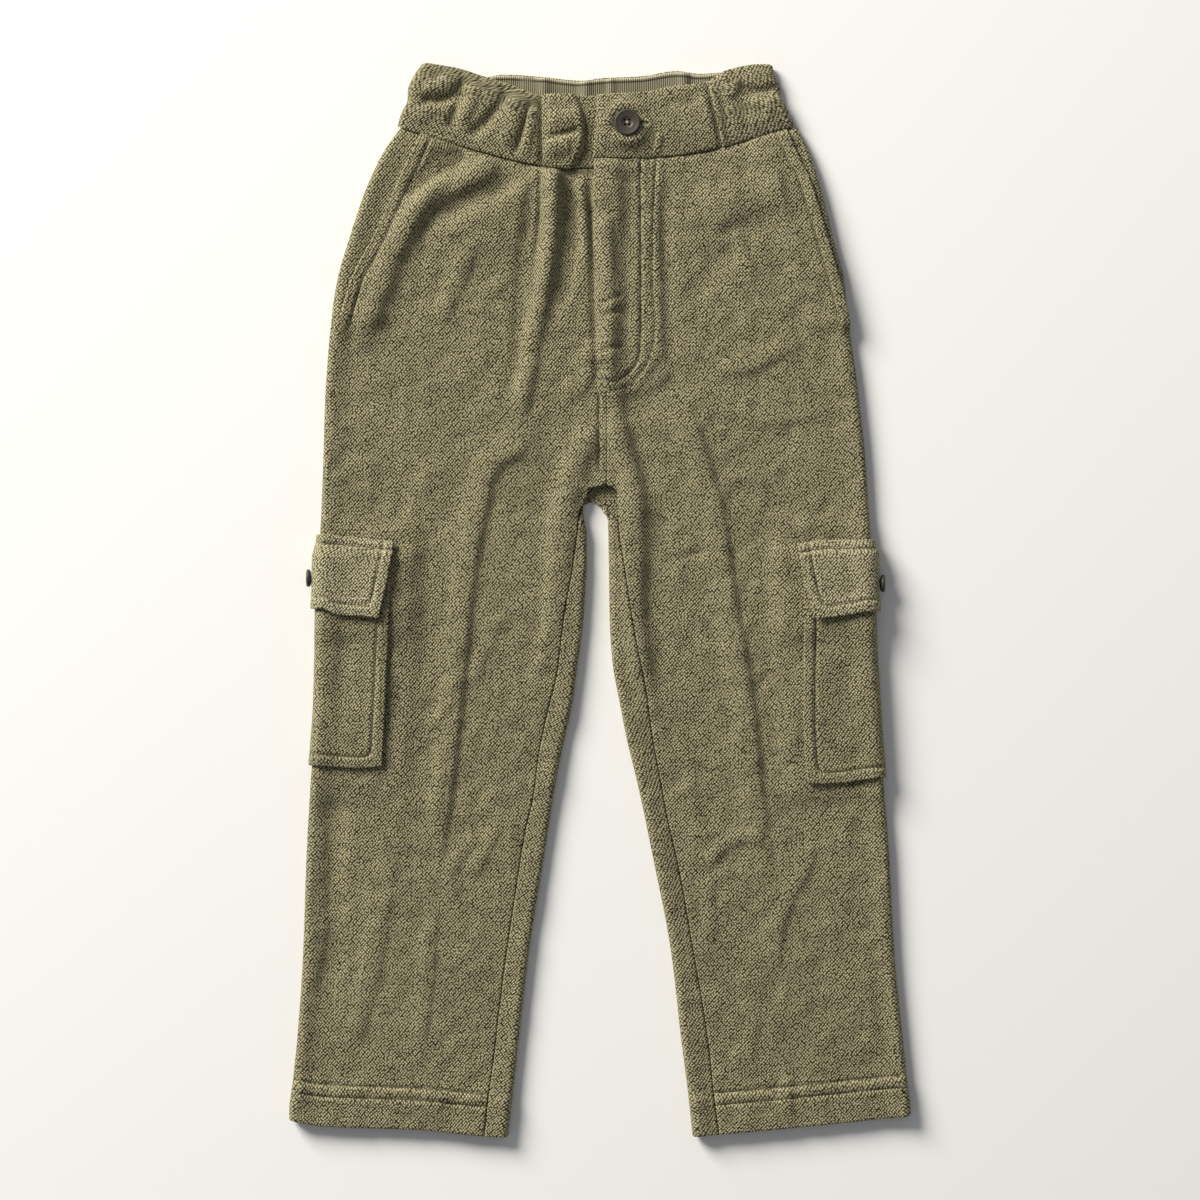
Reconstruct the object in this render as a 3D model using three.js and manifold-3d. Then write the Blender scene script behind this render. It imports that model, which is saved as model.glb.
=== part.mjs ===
// Cargo trousers in towelling for a child of about 110 cm, laid flat on their back.
// Millimetres. The back rests on z = 0 and +Y runs up to the waist. Left and right are as seen
// from above with the waist away from the viewer. The origin is under the middle of the outline.
import * as THREE from "three";
import { mergeVertices } from "three/addons/utils/BufferGeometryUtils.js";
import Module from "manifold-3d";

// Cloth
const CLOTH = 1.8; // one layer of towelling
const HEM = 2.8; // the turned hem, pressed and sewn
const HEM_DEPTH = 23;
const BAND = 2.4; // waistband with its elastic inside
const FACING = 1.2; // ribbed inner face of the back waistband
const GAP = 0.3; // left at every seam and between touching layers
const WAIST_GAP = 0.5; // left at the seam and the joins of the gathered band
const AIR = 1.2; // loose space between the back and the front of a leg
const LAYER = CLOTH + GAP; // how far a patch moves out to lie on the cloth below it

// Heights of the middle of a wall above the surface
const BACK_BAND_Z = BAND / 2;
const FACING_Z = BAND + GAP + FACING / 2;
const BAND_Z = 5.6; // front band at its seam and its top fold
const WAIST_RISE = 1.4; // front panels climb this far to meet the front band
const WAIST_RISE_LENGTH = 34;
const ROLL = 1.4; // the side edges of a leg stand this much prouder than its middle
const ROLL_WIDTH = 16;

// Waistband
const PUFF = 1.5; // the elastic band between its seam and its fold
const FLAT_PUFF = 0.8;
const PLEAT = 1.8; // the buckled left end of the front band
const FLY_UNDERLAP = 7; // the left front and the left band end run this far under the fly
const FLY_LIFT = 2.5;
const JOIN = { left: { seam: -33, top: -33.5 }, right: { seam: 70, top: 61.5 } };

// Hip pockets
const HIP_TUCK = 12; // the hip panel runs this far under the front panel
const HIP_END = 163.5; // and ends at this height
const RAISED = 18; // the front panel stays up this far in from the pocket edge
const RAISED_RIM = 14; // and falls to the back over this width

// Cargo pockets and flaps, whose ends lie the same way round on the back
const PLATEAU_RIM = 14; // the back panel steps over a patch within this length
const POCKET_FOOT = -107;
const FLAP_FOOT = -14;
const POCKET_TOP = 22;
const POCKET_RAMP = [33, 24];
const FLAP_TOP_RAMP = [53, 39];
const PATCH_WIDTH = 49;

// Buttons
const WAIST_BUTTON = { radius: 7.6, height: 3, x: 15.5, y: 272.5, sides: 20 };
const FLAP_BUTTON = { radius: 5, height: 2.5, left: 12.5, right: 9.5, sides: 16 };

// Edges of the garment, each as rows of [y, x]: the side edge, the inner edge of the leg, the
// front panel's inner edge (centre, crotch and inseam) and the slanting edge of the hip pocket.
const EDGES = {
  left: {
    side: [
      [271, -113.5], [257, -123.5], [245.5, -129.5], [228.5, -136.5], [205.5, -144], [183, -150.5],
      [160, -154], [137, -156], [114, -157.5], [80, -158.5], [22.5, -160.5], [-11.5, -161],
      [-57.5, -162], [-80.5, -163.5], [-103, -165.5], [-143.5, -168], [-200.5, -170],
      [-252, -173.5], [-275, -176], [-292, -178], [-306, -177.5],
    ],
    inner: [
      [57, -3.2], [56, -4.5], [54.5, -9], [52.5, -10], [45.5, -9], [37, -7.5], [22.5, -7.5],
      [5.5, -8.5], [-11.5, -9.5], [-34.5, -12.5], [-57.5, -15.5], [-80.5, -20.5], [-103, -25],
      [-143.5, -31.5], [-200.5, -40.5], [-252, -46.5], [-275, -49], [-307, -52.5],
    ],
    front: [
      [250, 7], [126.5, 7], [119, 4], [72, 3.9], [68.5, 2], [64.5, -5.5], [57, -8.5], [52, -11.5],
      [46, -12.6], [40, -12.8], [34, -13.8], [15, -16.5], [-6.5, -20.5], [-43, -25], [-65, -30.5],
      [-87, -35], [-113.5, -38.5], [-132.5, -43], [-170.5, -49], [-204.5, -54], [-236, -58],
      [-262.5, -61], [-280, -63.5], [-307, -66.5],
    ],
    pocket: [
      [271, -101], [268.5, -102], [242, -114.5], [210, -128.5], [184, -142], [158.5, -150],
      [150, -154.5],
    ],
  },
  right: {
    side: [
      [271, 112.5], [257, 119.5], [245.5, 123.5], [228.5, 128.5], [205.5, 134], [183, 140],
      [160, 142], [137, 145.5], [114, 148.5], [80, 152], [57, 153.5], [22.5, 155.5],
      [-11.5, 156], [-57.5, 158.5], [-80.5, 160], [-103, 162], [-143.5, 165.5], [-200.5, 168.5],
      [-252, 173.5], [-275, 176], [-292, 178], [-306, 178],
    ],
    inner: [
      [56, -2.8], [55, -2.3], [53.5, 1], [51, 2.5], [45.5, 4.5], [22.5, 5], [-11.5, 5.5],
      [-34.5, 7], [-57.5, 11], [-80.5, 15.5], [-103, 21], [-143.5, 29.5], [-200.5, 40.5],
      [-252, 46.5], [-275, 49.5], [-307, 53],
    ],
    front: [
      [254, -3.5], [215.5, -3], [180.5, -1.5], [145.5, -0.5], [126.5, 0], [123.5, 1.5],
      [118.5, 4.3], [72, 4.2], [68, 5], [64.5, 9], [60, 10], [40, 11], [17, 14.5], [-6.5, 18],
      [-29, 22], [-50.5, 26.5], [-77, 30], [-101.5, 34.5], [-123.5, 38.5], [-154.5, 45.5],
      [-203.5, 54], [-229.5, 58.5], [-256, 62.5], [-280.5, 65], [-307, 68.5],
    ],
    pocket: [
      [271, 106], [253, 114], [242, 119.5], [216.5, 127.5], [195.5, 133.5], [172.5, 140],
      [150, 144.5],
    ],
  },
};

// Edges that run across the garment, each as rows of [x, y]
const ACROSS = {
  waistSeam: {
    left: [
      [-113.5, 271], [-98, 265.8], [-82, 260.5], [-64.5, 255.5], [-46.5, 251], [-30, 247.8],
      [-16, 246.8], [8, 246.8],
    ],
    right: [
      [-4, 252.8], [20, 252.6], [36, 253.4], [53, 255.6], [70, 259.2], [88, 264], [100, 267.6],
      [112.5, 271],
    ],
  },
  bandTop: {
    left: [
      [-100.5, 307.5], [-82, 304], [-66, 299], [-53, 295], [-33.5, 289], [-15, 289], [8, 287.5],
    ],
    right: [
      [-4, 288.5], [26.5, 290.5], [40, 293.5], [57.5, 295.5], [66.5, 299], [72, 302.5],
      [89.5, 306], [97.5, 306],
    ],
  },
  backSeam: [[-113.5, 271], [0, 264], [112.5, 271]],
  backTop: [
    [-100.5, 307.5], [-85.5, 303], [-67, 299.5], [-55, 301], [-31.5, 299.5], [-11, 297.5],
    [2, 299], [23, 300], [44, 303], [57.5, 301.5], [72, 302.5], [89.5, 305.5], [97.5, 306],
  ],
  hem: {
    left: [[-177.5, -297.5], [-158.5, -301], [-105, -303], [-60.5, -307], [-52.5, -307.2]],
    right: [[53, -307.2], [65, -306], [99, -303], [148.5, -298], [177.5, -295]],
  },
};

// Cargo pockets and flaps: the front edge as rows of [y, x] and the ends as rows of
// [distance in from the side edge, y]
const PATCHES = {
  left: {
    pocketEdge: [[22, -119.5], [-11.5, -120.5], [-56.5, -122.5], [-96, -124.5]],
    pocketBottom: [[0, -94.5], [23, -96], [42, -94]],
    flapEdge: [[34, -117], [20, -119.5], [-12, -126.5]],
    flapTop: [[0, 37.5], [44, 33]],
    flapBottom: [[0, -5], [8, -8.5], [24, -9.5], [36, -12]],
    pocketEnd: -96,
  },
  right: {
    pocketEdge: [[22, 116], [-5.5, 116.5], [-66.5, 116], [-105, 118.5]],
    pocketBottom: [[0, -101.5], [28, -105], [46, -104.5]],
    flapEdge: [[34, 112.5], [20, 114.5], [-8, 121.5]],
    flapTop: [[0, 34.5], [20, 34.5], [44, 31]],
    flapBottom: [[0, -6.5], [14, -9], [30, -10.5], [36, -8]],
    pocketEnd: -105,
  },
};

// A table is rows of numbers under named columns
const table = (columns, rows) =>
  rows.map((row) => Object.fromEntries(columns.map((name, i) => [name, row[i]])));

// Folds of the front, each a bent line through three points. A ridge has a positive height.
const FOLDS = table(
  ["x1", "y1", "x2", "y2", "x3", "y3", "height", "width"],
  [
    [-25, 240, -30, 177, -33, 120, 1.3, 6], // left front crease, upper half
    [-16, 236, -17, 180, -19, 110, -0.7, 5],
    [-55, 70, -68, 0, -83, -90, 1.5, 8], // left front crease, down the leg
    [-83, -90, -90, -150, -98, -235, 1.2, 8],
    [-82, 244, -100, 230, -121, 208, 1.2, 5], // left hip diagonals
    [-88, 226, -108, 206, -123, 176, -0.7, 5],
    [-42, 241, -72, 224, -100, 212, 1.1, 5],
    [-37, 238, -39, 215, -47, 193, -0.6, 4],
    [-12, 92, -26, 62, -31, 20, 1.4, 6], // inner thighs
    [21, 66, 27, 30, 27, -30, -0.7, 5],
    [14, 66, 20, 30, 22, -8, 1, 5],
    [-63, -136, -70, -152, -77, -166, 0.9, 5], // knees
    [78, -138, 68, -146, 60, -153, 0.9, 5],
    [58, 66, 74, -40, 88, -126, 1.4, 8], // right front crease
    [88, -126, 93, -170, 97, -210, 1.1, 8],
    [121, -150, 112, -175, 100, -202, 0.9, 6],
    [-70, 170, -86, 120, -92, 60, 0.7, 12], // broad swells over the thighs and shins
    [86, 190, 96, 120, 92, 50, 0.8, 12],
    [-140, -140, -138, -200, -140, -262, 0.8, 10],
    [136, -150, 136, -205, 140, -262, 0.8, 10],
  ],
);

// Gathers of the front band, each a trough from its seam to its fold
const GATHERS = table(
  ["x1", "y1", "x2", "y2", "x3", "y3", "height", "width"],
  [
    [-82, 298, -89, 291, -99, 287, -1.4, 2.4],
    [-76, 297, -86, 281, -88, 271, -1.2, 2.4],
    [-56, 293, -64, 279, -76, 268, -1.3, 2.6],
    [-38, 285, -43, 272, -48, 259, -1, 2.2],
    [-35, 288, -38, 271, -39, 253, -0.9, 2],
    [-100, 284, -104, 277, -107, 270, -0.8, 2.4],
    [83, 293, 93, 291, 101, 294, -1.4, 2.4],
    [79, 282, 83, 278, 86, 270, -0.9, 2.6],
    [70, 298, 73, 285, 77, 266, -0.8, 2.4],
    [95, 284, 97, 278, 99, 272, -0.8, 2.4],
  ],
);

// Gathers of the hidden back band, as distances along it from its middle
const BACK_GATHERS = [-97, -85, -70, -59, -43, -30, -13, 4, 17, 33, 46, 62, 74, 90];
const BACK_GATHER = { height: 0.5, width: 2.6 };

// Rows of a leg's walls, from the waist seam to the crotch and on to the hem
const LEG_ROWS = [
  56, 53, 50, 46, 39, 33, 28.5, 24, 8, -14, -26, -42, -62, -82, -96, -107, -121, -140, -160, -182,
  -206, -230, -256, -279, -283, -304,
];
const FRONT_ROWS = [
  262, 250, 237, 222, 206, 190, 175, 163, 154, 148, 134, 119, 104, 88, 76, 71, 67.5, 64, 60,
  ...LEG_ROWS,
];
const BACK_ROWS = [266, 235, 200, 165, 130, 95, 68, 60, ...LEG_ROWS];
// Columns, as distances in from the arc of the side edge and in from the inner edge
const SIDE_COLUMNS = [0, 4, 14, 28, 46, 60];
const INNER_COLUMNS = [22, 12, 5, 0];
const TOP = { front: 262, back: 266 };
const BOTTOM = -304;
const TOP_REACH = 75; // the curve of the waist seam dies out in the rows over this length
const BOTTOM_REACH = 60;

const ARC_STEPS = 3; // facets in a quarter of a leg's side edge
const WRAP_STEPS = 4; // facets in the inner edge, where the back panel turns over to the front
const STRIP_STEPS = 2;
const WRAP_RAMP = [55, 43]; // below the crotch the back panel turns over between these heights

const COLOURS = {
  front: 0x77735a,
  back: 0x6f6b52,
  hip: 0x79755b,
  band: 0x7d785f,
  facing: 0x83806a,
  pocket: 0x736e56,
  flap: 0x8a856c,
  button: 0x47433a,
};

const { clamp, lerp } = THREE.MathUtils;

function ramp(from, to, t) {
  const s = clamp((t - from) / (to - from), 0, 1);
  return s * s * (3 - 2 * s);
}

// A smooth curve through rows of [t, value] that never swings past them
function curve(rows) {
  const points = [...rows].sort((a, b) => a[0] - b[0]);
  const last = points.length - 1;
  const chord = (i) => (points[i + 1][1] - points[i][1]) / (points[i + 1][0] - points[i][0]);
  const slopes = points.map((_, i) => {
    if (i === 0) return chord(0);
    if (i === last) return chord(last - 1);
    const before = chord(i - 1);
    const after = chord(i);
    return before * after <= 0 ? 0 : (2 * before * after) / (before + after);
  });
  return (t) => {
    if (t <= points[0][0]) return points[0][1];
    if (t >= points[last][0]) return points[last][1];
    const i = points.findIndex((point) => point[0] > t) - 1;
    const width = points[i + 1][0] - points[i][0];
    const s = (t - points[i][0]) / width;
    const rise = points[i + 1][1] - points[i][1];
    const bend = slopes[i] * width * s * (1 - s) ** 2 - slopes[i + 1] * width * s * s * (1 - s);
    return points[i][1] + rise * s * s * (3 - 2 * s) + bend;
  };
}

function segmentDistance(x, y, x1, y1, x2, y2) {
  const [dx, dy] = [x2 - x1, y2 - y1];
  const along = clamp(((x - x1) * dx + (y - y1) * dy) / (dx * dx + dy * dy), 0, 1);
  return Math.hypot(x - x1 - along * dx, y - y1 - along * dy);
}

// What a table of folds adds to the height of the cloth at a place
function foldHeight(folds, x, y) {
  let height = 0;
  for (const fold of folds) {
    const upper = segmentDistance(x, y, fold.x1, fold.y1, fold.x2, fold.y2);
    const lower = segmentDistance(x, y, fold.x2, fold.y2, fold.x3, fold.y3);
    height += fold.height * Math.exp(-((Math.min(upper, lower) / fold.width) ** 2));
  }
  return height;
}

// Each leg as curves worked out from the tables; out is the way from its middle to its side edge
function makeLeg(name, out) {
  const edges = EDGES[name];
  const patches = PATCHES[name];
  return {
    name,
    out,
    side: curve(edges.side),
    inner: curve(edges.inner),
    front: curve(edges.front),
    pocket: curve(edges.pocket),
    waistSeam: curve(ACROSS.waistSeam[name]),
    backSeam: curve(ACROSS.backSeam),
    hem: curve(ACROSS.hem[name]),
    pocketEdge: curve(patches.pocketEdge),
    pocketBottom: curve(patches.pocketBottom),
    flapEdge: curve(patches.flapEdge),
    flapTop: curve(patches.flapTop),
    flapBottom: curve(patches.flapBottom),
    pocketEnd: patches.pocketEnd,
  };
}

const inFromSide = (leg, x, y) => (leg.side(y) - x) * leg.out;
const inFromInner = (leg, x, y) => (x - leg.inner(y)) * leg.out;

function legCloth(leg, x, y) {
  const above = y - leg.hem(x);
  return lerp(CLOTH, HEM, ramp(HEM_DEPTH + 2, HEM_DEPTH - 2, above));
}

// How many patches lie under the back panel at a place: the pocket, and the flap outside it
function patchUnder(leg, x, y, rampAbove, foot) {
  const across = ramp(PATCH_WIDTH + PLATEAU_RIM, PATCH_WIDTH, inFromSide(leg, x, y));
  return across * ramp(...rampAbove, y) * ramp(foot - PLATEAU_RIM, foot, y);
}

const pocketUnder = (leg, x, y) => patchUnder(leg, x, y, POCKET_RAMP, POCKET_FOOT);
const flapUnder = (leg, x, y) => patchUnder(leg, x, y, FLAP_TOP_RAMP, FLAP_FOOT);

function backZ(leg, x, y) {
  const patches = pocketUnder(leg, x, y) + flapUnder(leg, x, y);
  return legCloth(leg, x, y) / 2 + LAYER * patches;
}

// Middle of the front of the leg, before the pocket edge and the fly lift it
function frontZ(leg, x, y, folded = 1) {
  const patches = pocketUnder(leg, x, y) + flapUnder(leg, x, y);
  const sideRoll = ramp(ROLL_WIDTH, 3, inFromSide(leg, x, y)) * ramp(268, 240, y);
  const innerRoll = 0.7 * ramp(ROLL_WIDTH, 3, inFromInner(leg, x, y)) * ramp(58, 30, y);
  const belowWaist = leg.waistSeam(x) - y;
  const clear = folded * (1 - clamp(patches, 0, 1)) * ramp(2, 24, belowWaist);
  const folds = foldHeight(FOLDS, x, y) * clear;
  const aboveHem = y - leg.hem(x);
  return (
    1.5 * legCloth(leg, x, y) +
    AIR +
    LAYER * patches +
    ROLL * Math.max(sideRoll, innerRoll) +
    folds * ramp(0, 18, aboveHem) +
    WAIST_RISE * ramp(WAIST_RISE_LENGTH, 0, belowWaist)
  );
}

// The side edge of a leg: where the flat cloth ends, and the arc that turns round to the back
function sideArc(leg, y) {
  const cloth = legCloth(leg, leg.side(y), y);
  const near = leg.side(y) - leg.out * 3.2;
  const across = (frontZ(leg, near, y) - backZ(leg, near, y)) / 2;
  const x = leg.side(y) - leg.out * (across + cloth / 2);
  const high = frontZ(leg, x, y);
  const low = backZ(leg, x, y);
  return { x, across, up: (high - low) / 2, middle: (high + low) / 2 };
}

// A point on or round the side edge: inward is the distance in from the arc, turn the angle from
// the face down to the edge, face 1 the front and -1 the back. A patch lies over some layers of
// cloth in front and under some behind.
function sidePoint(leg, y, { inward = 0, turn = 0, face = 1 }, over = 0, under = over) {
  const arc = sideArc(leg, y);
  if (inward > 0) {
    const x = arc.x - leg.out * inward;
    const z = face > 0 ? frontZ(leg, x, y) + over * LAYER : backZ(leg, x, y) - under * LAYER;
    return new THREE.Vector3(x, y, z);
  }
  const high = arc.middle + arc.up + over * LAYER;
  const low = arc.middle - arc.up - under * LAYER;
  const across = arc.across + ((over + under) / 2) * LAYER;
  const x = arc.x + leg.out * across * Math.sin(turn);
  const z = (high + low) / 2 + face * ((high - low) / 2) * Math.cos(turn);
  return new THREE.Vector3(x, y, z);
}

// The height of a row at x, so that the rows follow the waist seam and the hem
function rowHeight(row, x, top, topCurve, bottomCurve) {
  const up = (topCurve(x) - WAIST_GAP / 2 - top) * ramp(top - TOP_REACH, top, row);
  const down = (bottomCurve(x) - BOTTOM) * ramp(BOTTOM + BOTTOM_REACH, BOTTOM, row);
  return row + up + down;
}

// A point on a row whose x depends on its height, which in turn depends on its x
function settle(row, xAt, heightAt) {
  let y = row;
  for (let pass = 0; pass < 4; pass++) y = heightAt(row, xAt(y));
  return y;
}

// The way a row of points runs at one of them. At its ends it goes on bending as it did before.
function wayAlong(pointAt, j, last) {
  const end = j === 0 ? 1 : j === last ? -1 : 0;
  if (end === 0) return pointAt(j + 1).clone().sub(pointAt(j - 1));
  const way = pointAt(j + end).clone().multiplyScalar(4);
  way.addScaledVector(pointAt(j), -3).sub(pointAt(j + 2 * end));
  return way.multiplyScalar(end);
}

// A closed wall of cloth round a grid of points on its middle surface
function clothWall(sections, thicknessAt) {
  const rows = sections.length;
  const columns = sections[0].length;
  const at = (i, j) => sections[clamp(i, 0, rows - 1)][clamp(j, 0, columns - 1)];
  const positions = [];
  for (const face of [1, -1]) {
    for (let i = 0; i < rows; i++) {
      for (let j = 0; j < columns; j++) {
        const along = at(i + 1, j).clone().sub(at(i - 1, j));
        const across = wayAlong((column) => at(i, column), j, columns - 1);
        const normal = along.cross(across).normalize();
        const point = at(i, j);
        const half = (face * (point.cloth ?? thicknessAt(point))) / 2;
        positions.push(...point.clone().addScaledVector(normal, half).toArray());
      }
    }
  }
  const back = rows * columns;
  const index = [];
  const quad = (a, b, c, d) => index.push(a, b, c, a, c, d);
  for (let i = 0; i < rows - 1; i++) {
    for (let j = 0; j < columns - 1; j++) {
      const a = i * columns + j;
      const b = a + columns;
      quad(a, b, b + 1, a + 1);
      quad(back + a, back + a + 1, back + b + 1, back + b);
    }
  }
  const rim = [];
  for (let j = 0; j < columns - 1; j++) rim.push(j);
  for (let i = 0; i < rows - 1; i++) rim.push(i * columns + columns - 1);
  for (let j = columns - 1; j > 0; j--) rim.push((rows - 1) * columns + j);
  for (let i = rows - 1; i > 0; i--) rim.push(i * columns);
  rim.forEach((a, i) => {
    const b = rim[(i + 1) % rim.length];
    quad(a, b, back + b, back + a);
  });
  const geometry = new THREE.BufferGeometry();
  geometry.setAttribute("position", new THREE.Float32BufferAttribute(positions, 3));
  geometry.setIndex(index);
  if (volume(geometry) < 0) geometry.setIndex([...index].reverse());
  return geometry;
}

function volume(geometry) {
  const position = geometry.getAttribute("position");
  const index = geometry.getIndex();
  const corner = (i) => new THREE.Vector3().fromBufferAttribute(position, index.getX(i));
  let total = 0;
  for (let i = 0; i < index.count; i += 3) {
    total += corner(i).dot(corner(i + 1).cross(corner(i + 2))) / 6;
  }
  return total;
}

const turns = (steps) =>
  Array.from({ length: steps + 1 }, (_, i) => ((i / steps) * Math.PI) / 2);

// How far the front panel is lifted where it lies over the hip panel and over the fly underlap
function frontLift(leg, x, y) {
  const inFromPocket = (leg.pocket(y) - x) * leg.out;
  const overHip = ramp(RAISED + RAISED_RIM, RAISED, inFromPocket) * ramp(150, 161, y);
  if (leg.name === "left") return LAYER * overHip;
  const overFly = ramp(FLY_UNDERLAP + 10, FLY_UNDERLAP + 1.5, x) * ramp(98, 116, y);
  return Math.max(LAYER * overHip, FLY_LIFT * overFly);
}

// Front panel: from the pocket edge or the side seam in to the centre seam and the inseam
function frontPanel(leg) {
  const closedAt = (y) => ramp(159, 149, y); // 1 where the panel reaches the side seam
  const flatEnd = (y) => {
    const arc = sideArc(leg, y);
    const open = leg.pocket(y) - leg.out * (arc.across + CLOTH / 2);
    return lerp(open, arc.x, closedAt(y));
  };
  const flatZ = (x, y) => frontZ(leg, x, y) + frontLift(leg, x, y);
  const sideColumns = SIDE_COLUMNS.map((inward) => (y) => flatEnd(y) - leg.out * inward);
  const innerColumns = INNER_COLUMNS.map((inward) => (y) => leg.front(y) + leg.out * inward);
  const middle = (y) => lerp(sideColumns.at(-1)(y), innerColumns[0](y), 0.5);
  const flats = [...sideColumns, middle, ...innerColumns];
  const sections = FRONT_ROWS.map((row) => {
    const heightAt = (r, x) => rowHeight(r, x, TOP.front, leg.waistSeam, leg.hem);
    const point = (xAt, zAt) => {
      const y = settle(row, xAt, heightAt);
      return new THREE.Vector3(xAt(y), y, zAt(xAt(y), y));
    };
    const turned = turns(ARC_STEPS).slice(1).reverse().map((turn) => {
      const share = turn / (Math.PI / 2);
      const xAt = (y) => {
        const arc = sideArc(leg, y);
        const open = leg.pocket(y) - leg.out * (1 - share) * (arc.across + CLOTH / 2);
        return lerp(open, arc.x + leg.out * arc.across * Math.sin(turn), closedAt(y));
      };
      const zAt = (x, y) => {
        const arc = sideArc(leg, y);
        const round = arc.middle + Math.max(arc.up * Math.cos(turn), GAP / 2);
        return lerp(flatZ(x, y), round, closedAt(y));
      };
      return point(xAt, zAt);
    });
    return [...turned, ...flats.map((xAt) => point(xAt, flatZ))];
  });
  return clothWall(sections, (p) => legCloth(leg, p.x, p.y));
}

// Hip panel: from its hidden edge under the front panel out to the side seam
function hipPanel(leg) {
  const rows = [...FRONT_ROWS.slice(0, FRONT_ROWS.indexOf(175) + 1), HIP_END];
  const flats = [0, 0.5, 1];
  const sections = rows.map((row) => {
    const heightAt = (r, x) => rowHeight(r, x, TOP.front, leg.waistSeam, leg.hem);
    const hidden = (y) => leg.pocket(y) - leg.out * HIP_TUCK;
    const line = flats.map((share) => {
      const xAt = (y) => lerp(hidden(y), sideArc(leg, y).x, share);
      const y = settle(row, xAt, heightAt);
      return new THREE.Vector3(xAt(y), y, frontZ(leg, xAt(y), y, 0));
    });
    for (const turn of turns(ARC_STEPS).slice(1)) {
      const xAt = (y) => sidePoint(leg, y, { turn }).x;
      const y = settle(row, xAt, heightAt);
      const arc = sideArc(leg, y);
      const z = arc.middle + Math.max(arc.up * Math.cos(turn), GAP / 2);
      line.push(new THREE.Vector3(xAt(y), y, z));
    }
    return line;
  });
  return clothWall(sections, () => CLOTH);
}

// Inner edge of a leg, where the back panel turns up and over to meet the inseam
function wrapPoint(leg, y, step) {
  const edge = leg.inner(y);
  const cloth = legCloth(leg, edge, y);
  const near = edge + leg.out * 3;
  const radius = (frontZ(leg, near, y) - backZ(leg, near, y)) / 2;
  const startX = edge + leg.out * (radius + cloth / 2);
  const low = backZ(leg, startX, y);
  const wrap = ramp(...WRAP_RAMP, y);
  const strip = Math.max((leg.front(y) - startX) * leg.out - GAP, 0.6);
  const round = Math.PI * radius;
  const onArc = Math.min(step, WRAP_STEPS) / WRAP_STEPS;
  const onStrip = Math.max(step - WRAP_STEPS, 0) / STRIP_STEPS;
  const flatLength = ((radius + cloth / 2) * step) / (WRAP_STEPS + STRIP_STEPS);
  const length = lerp(flatLength, round * onArc + strip * onStrip, wrap);
  const turned = Math.min(length, round * wrap) / radius;
  const rest = length - turned * radius;
  const x = startX - leg.out * (radius * Math.sin(turned) + rest * Math.cos(turned));
  const z = low + radius * (1 - Math.cos(turned)) + rest * Math.sin(turned);
  const top = low + 2 * radius;
  const follow = onStrip > 0 ? ramp(0.85, 1, wrap) : 0;
  return new THREE.Vector3(x, y, z + follow * (frontZ(leg, x, y) - top));
}

// Back panel: from the side seam across to the centre-back seam, or round to the inseam
function backPanel(leg) {
  const flats = [0, 14, 28, 46, 60];
  const sections = BACK_ROWS.map((row) => {
    const heightAt = (r, x) => rowHeight(r, x, TOP.back, leg.backSeam, leg.hem);
    const line = [];
    for (const turn of turns(ARC_STEPS).slice(1).reverse()) {
      const xAt = (y) => sidePoint(leg, y, { turn, face: -1 }).x;
      const y = settle(row, xAt, heightAt);
      const arc = sideArc(leg, y);
      const z = arc.middle - Math.max(arc.up * Math.cos(turn), GAP / 2);
      line.push(new THREE.Vector3(xAt(y), y, z));
    }
    const flatX = (inward) => (y) => sideArc(leg, y).x - leg.out * inward;
    for (const inward of flats) {
      const y = settle(row, flatX(inward), heightAt);
      const x = flatX(inward)(y);
      line.push(new THREE.Vector3(x, y, backZ(leg, x, y)));
    }
    const middleX = (y) => lerp(flatX(flats.at(-1))(y), wrapPoint(leg, y, 0).x, 0.5);
    const middleY = settle(row, middleX, heightAt);
    line.push(new THREE.Vector3(middleX(middleY), middleY, backZ(leg, middleX(middleY), middleY)));
    for (let step = 0; step <= WRAP_STEPS + STRIP_STEPS; step++) {
      const y = settle(row, (height) => wrapPoint(leg, height, step).x, heightAt);
      line.push(wrapPoint(leg, y, step));
    }
    return line;
  });
  return clothWall(sections, (p) => legCloth(leg, p.x, p.y));
}

// A patch that wraps the side edge: its places from the front edge, round the arc, to the back
function patchPlaces(width) {
  const flats = [width, 28, 14, 4];
  const arc = turns(4);
  return [
    ...flats.map((inward) => ({ inward, face: 1 })),
    ...arc.map((turn) => ({ turn, face: 1 })),
    ...arc.slice(0, -1).reverse().map((turn) => ({ turn, face: -1 })),
    ...[14, 28, width].map((inward) => ({ inward, face: -1 })),
  ];
}

function patchWall(leg, shares, topAt, bottomAt, edge, overAt, underAt) {
  const count = patchPlaces(PATCH_WIDTH).length;
  const sections = shares.map((share) => {
    const line = [];
    for (let j = 0; j < count; j++) {
      const placeAt = (y) => patchPlaces((sideArc(leg, y).x - edge(y)) * leg.out)[j];
      let y = lerp(bottomAt(0), topAt(0), share);
      for (let pass = 0; pass < 4; pass++) {
        const inward = placeAt(y).inward ?? 0;
        y = lerp(bottomAt(inward), topAt(inward), share);
      }
      line.push(sidePoint(leg, y, placeAt(y), overAt(y), underAt(y)));
    }
    return line;
  });
  return clothWall(sections, () => CLOTH);
}

function cargoPocket(leg) {
  const within = LEG_ROWS.filter((y) => y < POCKET_TOP && y > leg.pocketEnd + 2);
  const shares = [POCKET_TOP, ...within, leg.pocketEnd].map(
    (y) => (y - leg.pocketEnd) / (POCKET_TOP - leg.pocketEnd),
  );
  const one = () => 1;
  return patchWall(leg, shares, () => POCKET_TOP, leg.pocketBottom, leg.pocketEdge, one, one);
}

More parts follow.
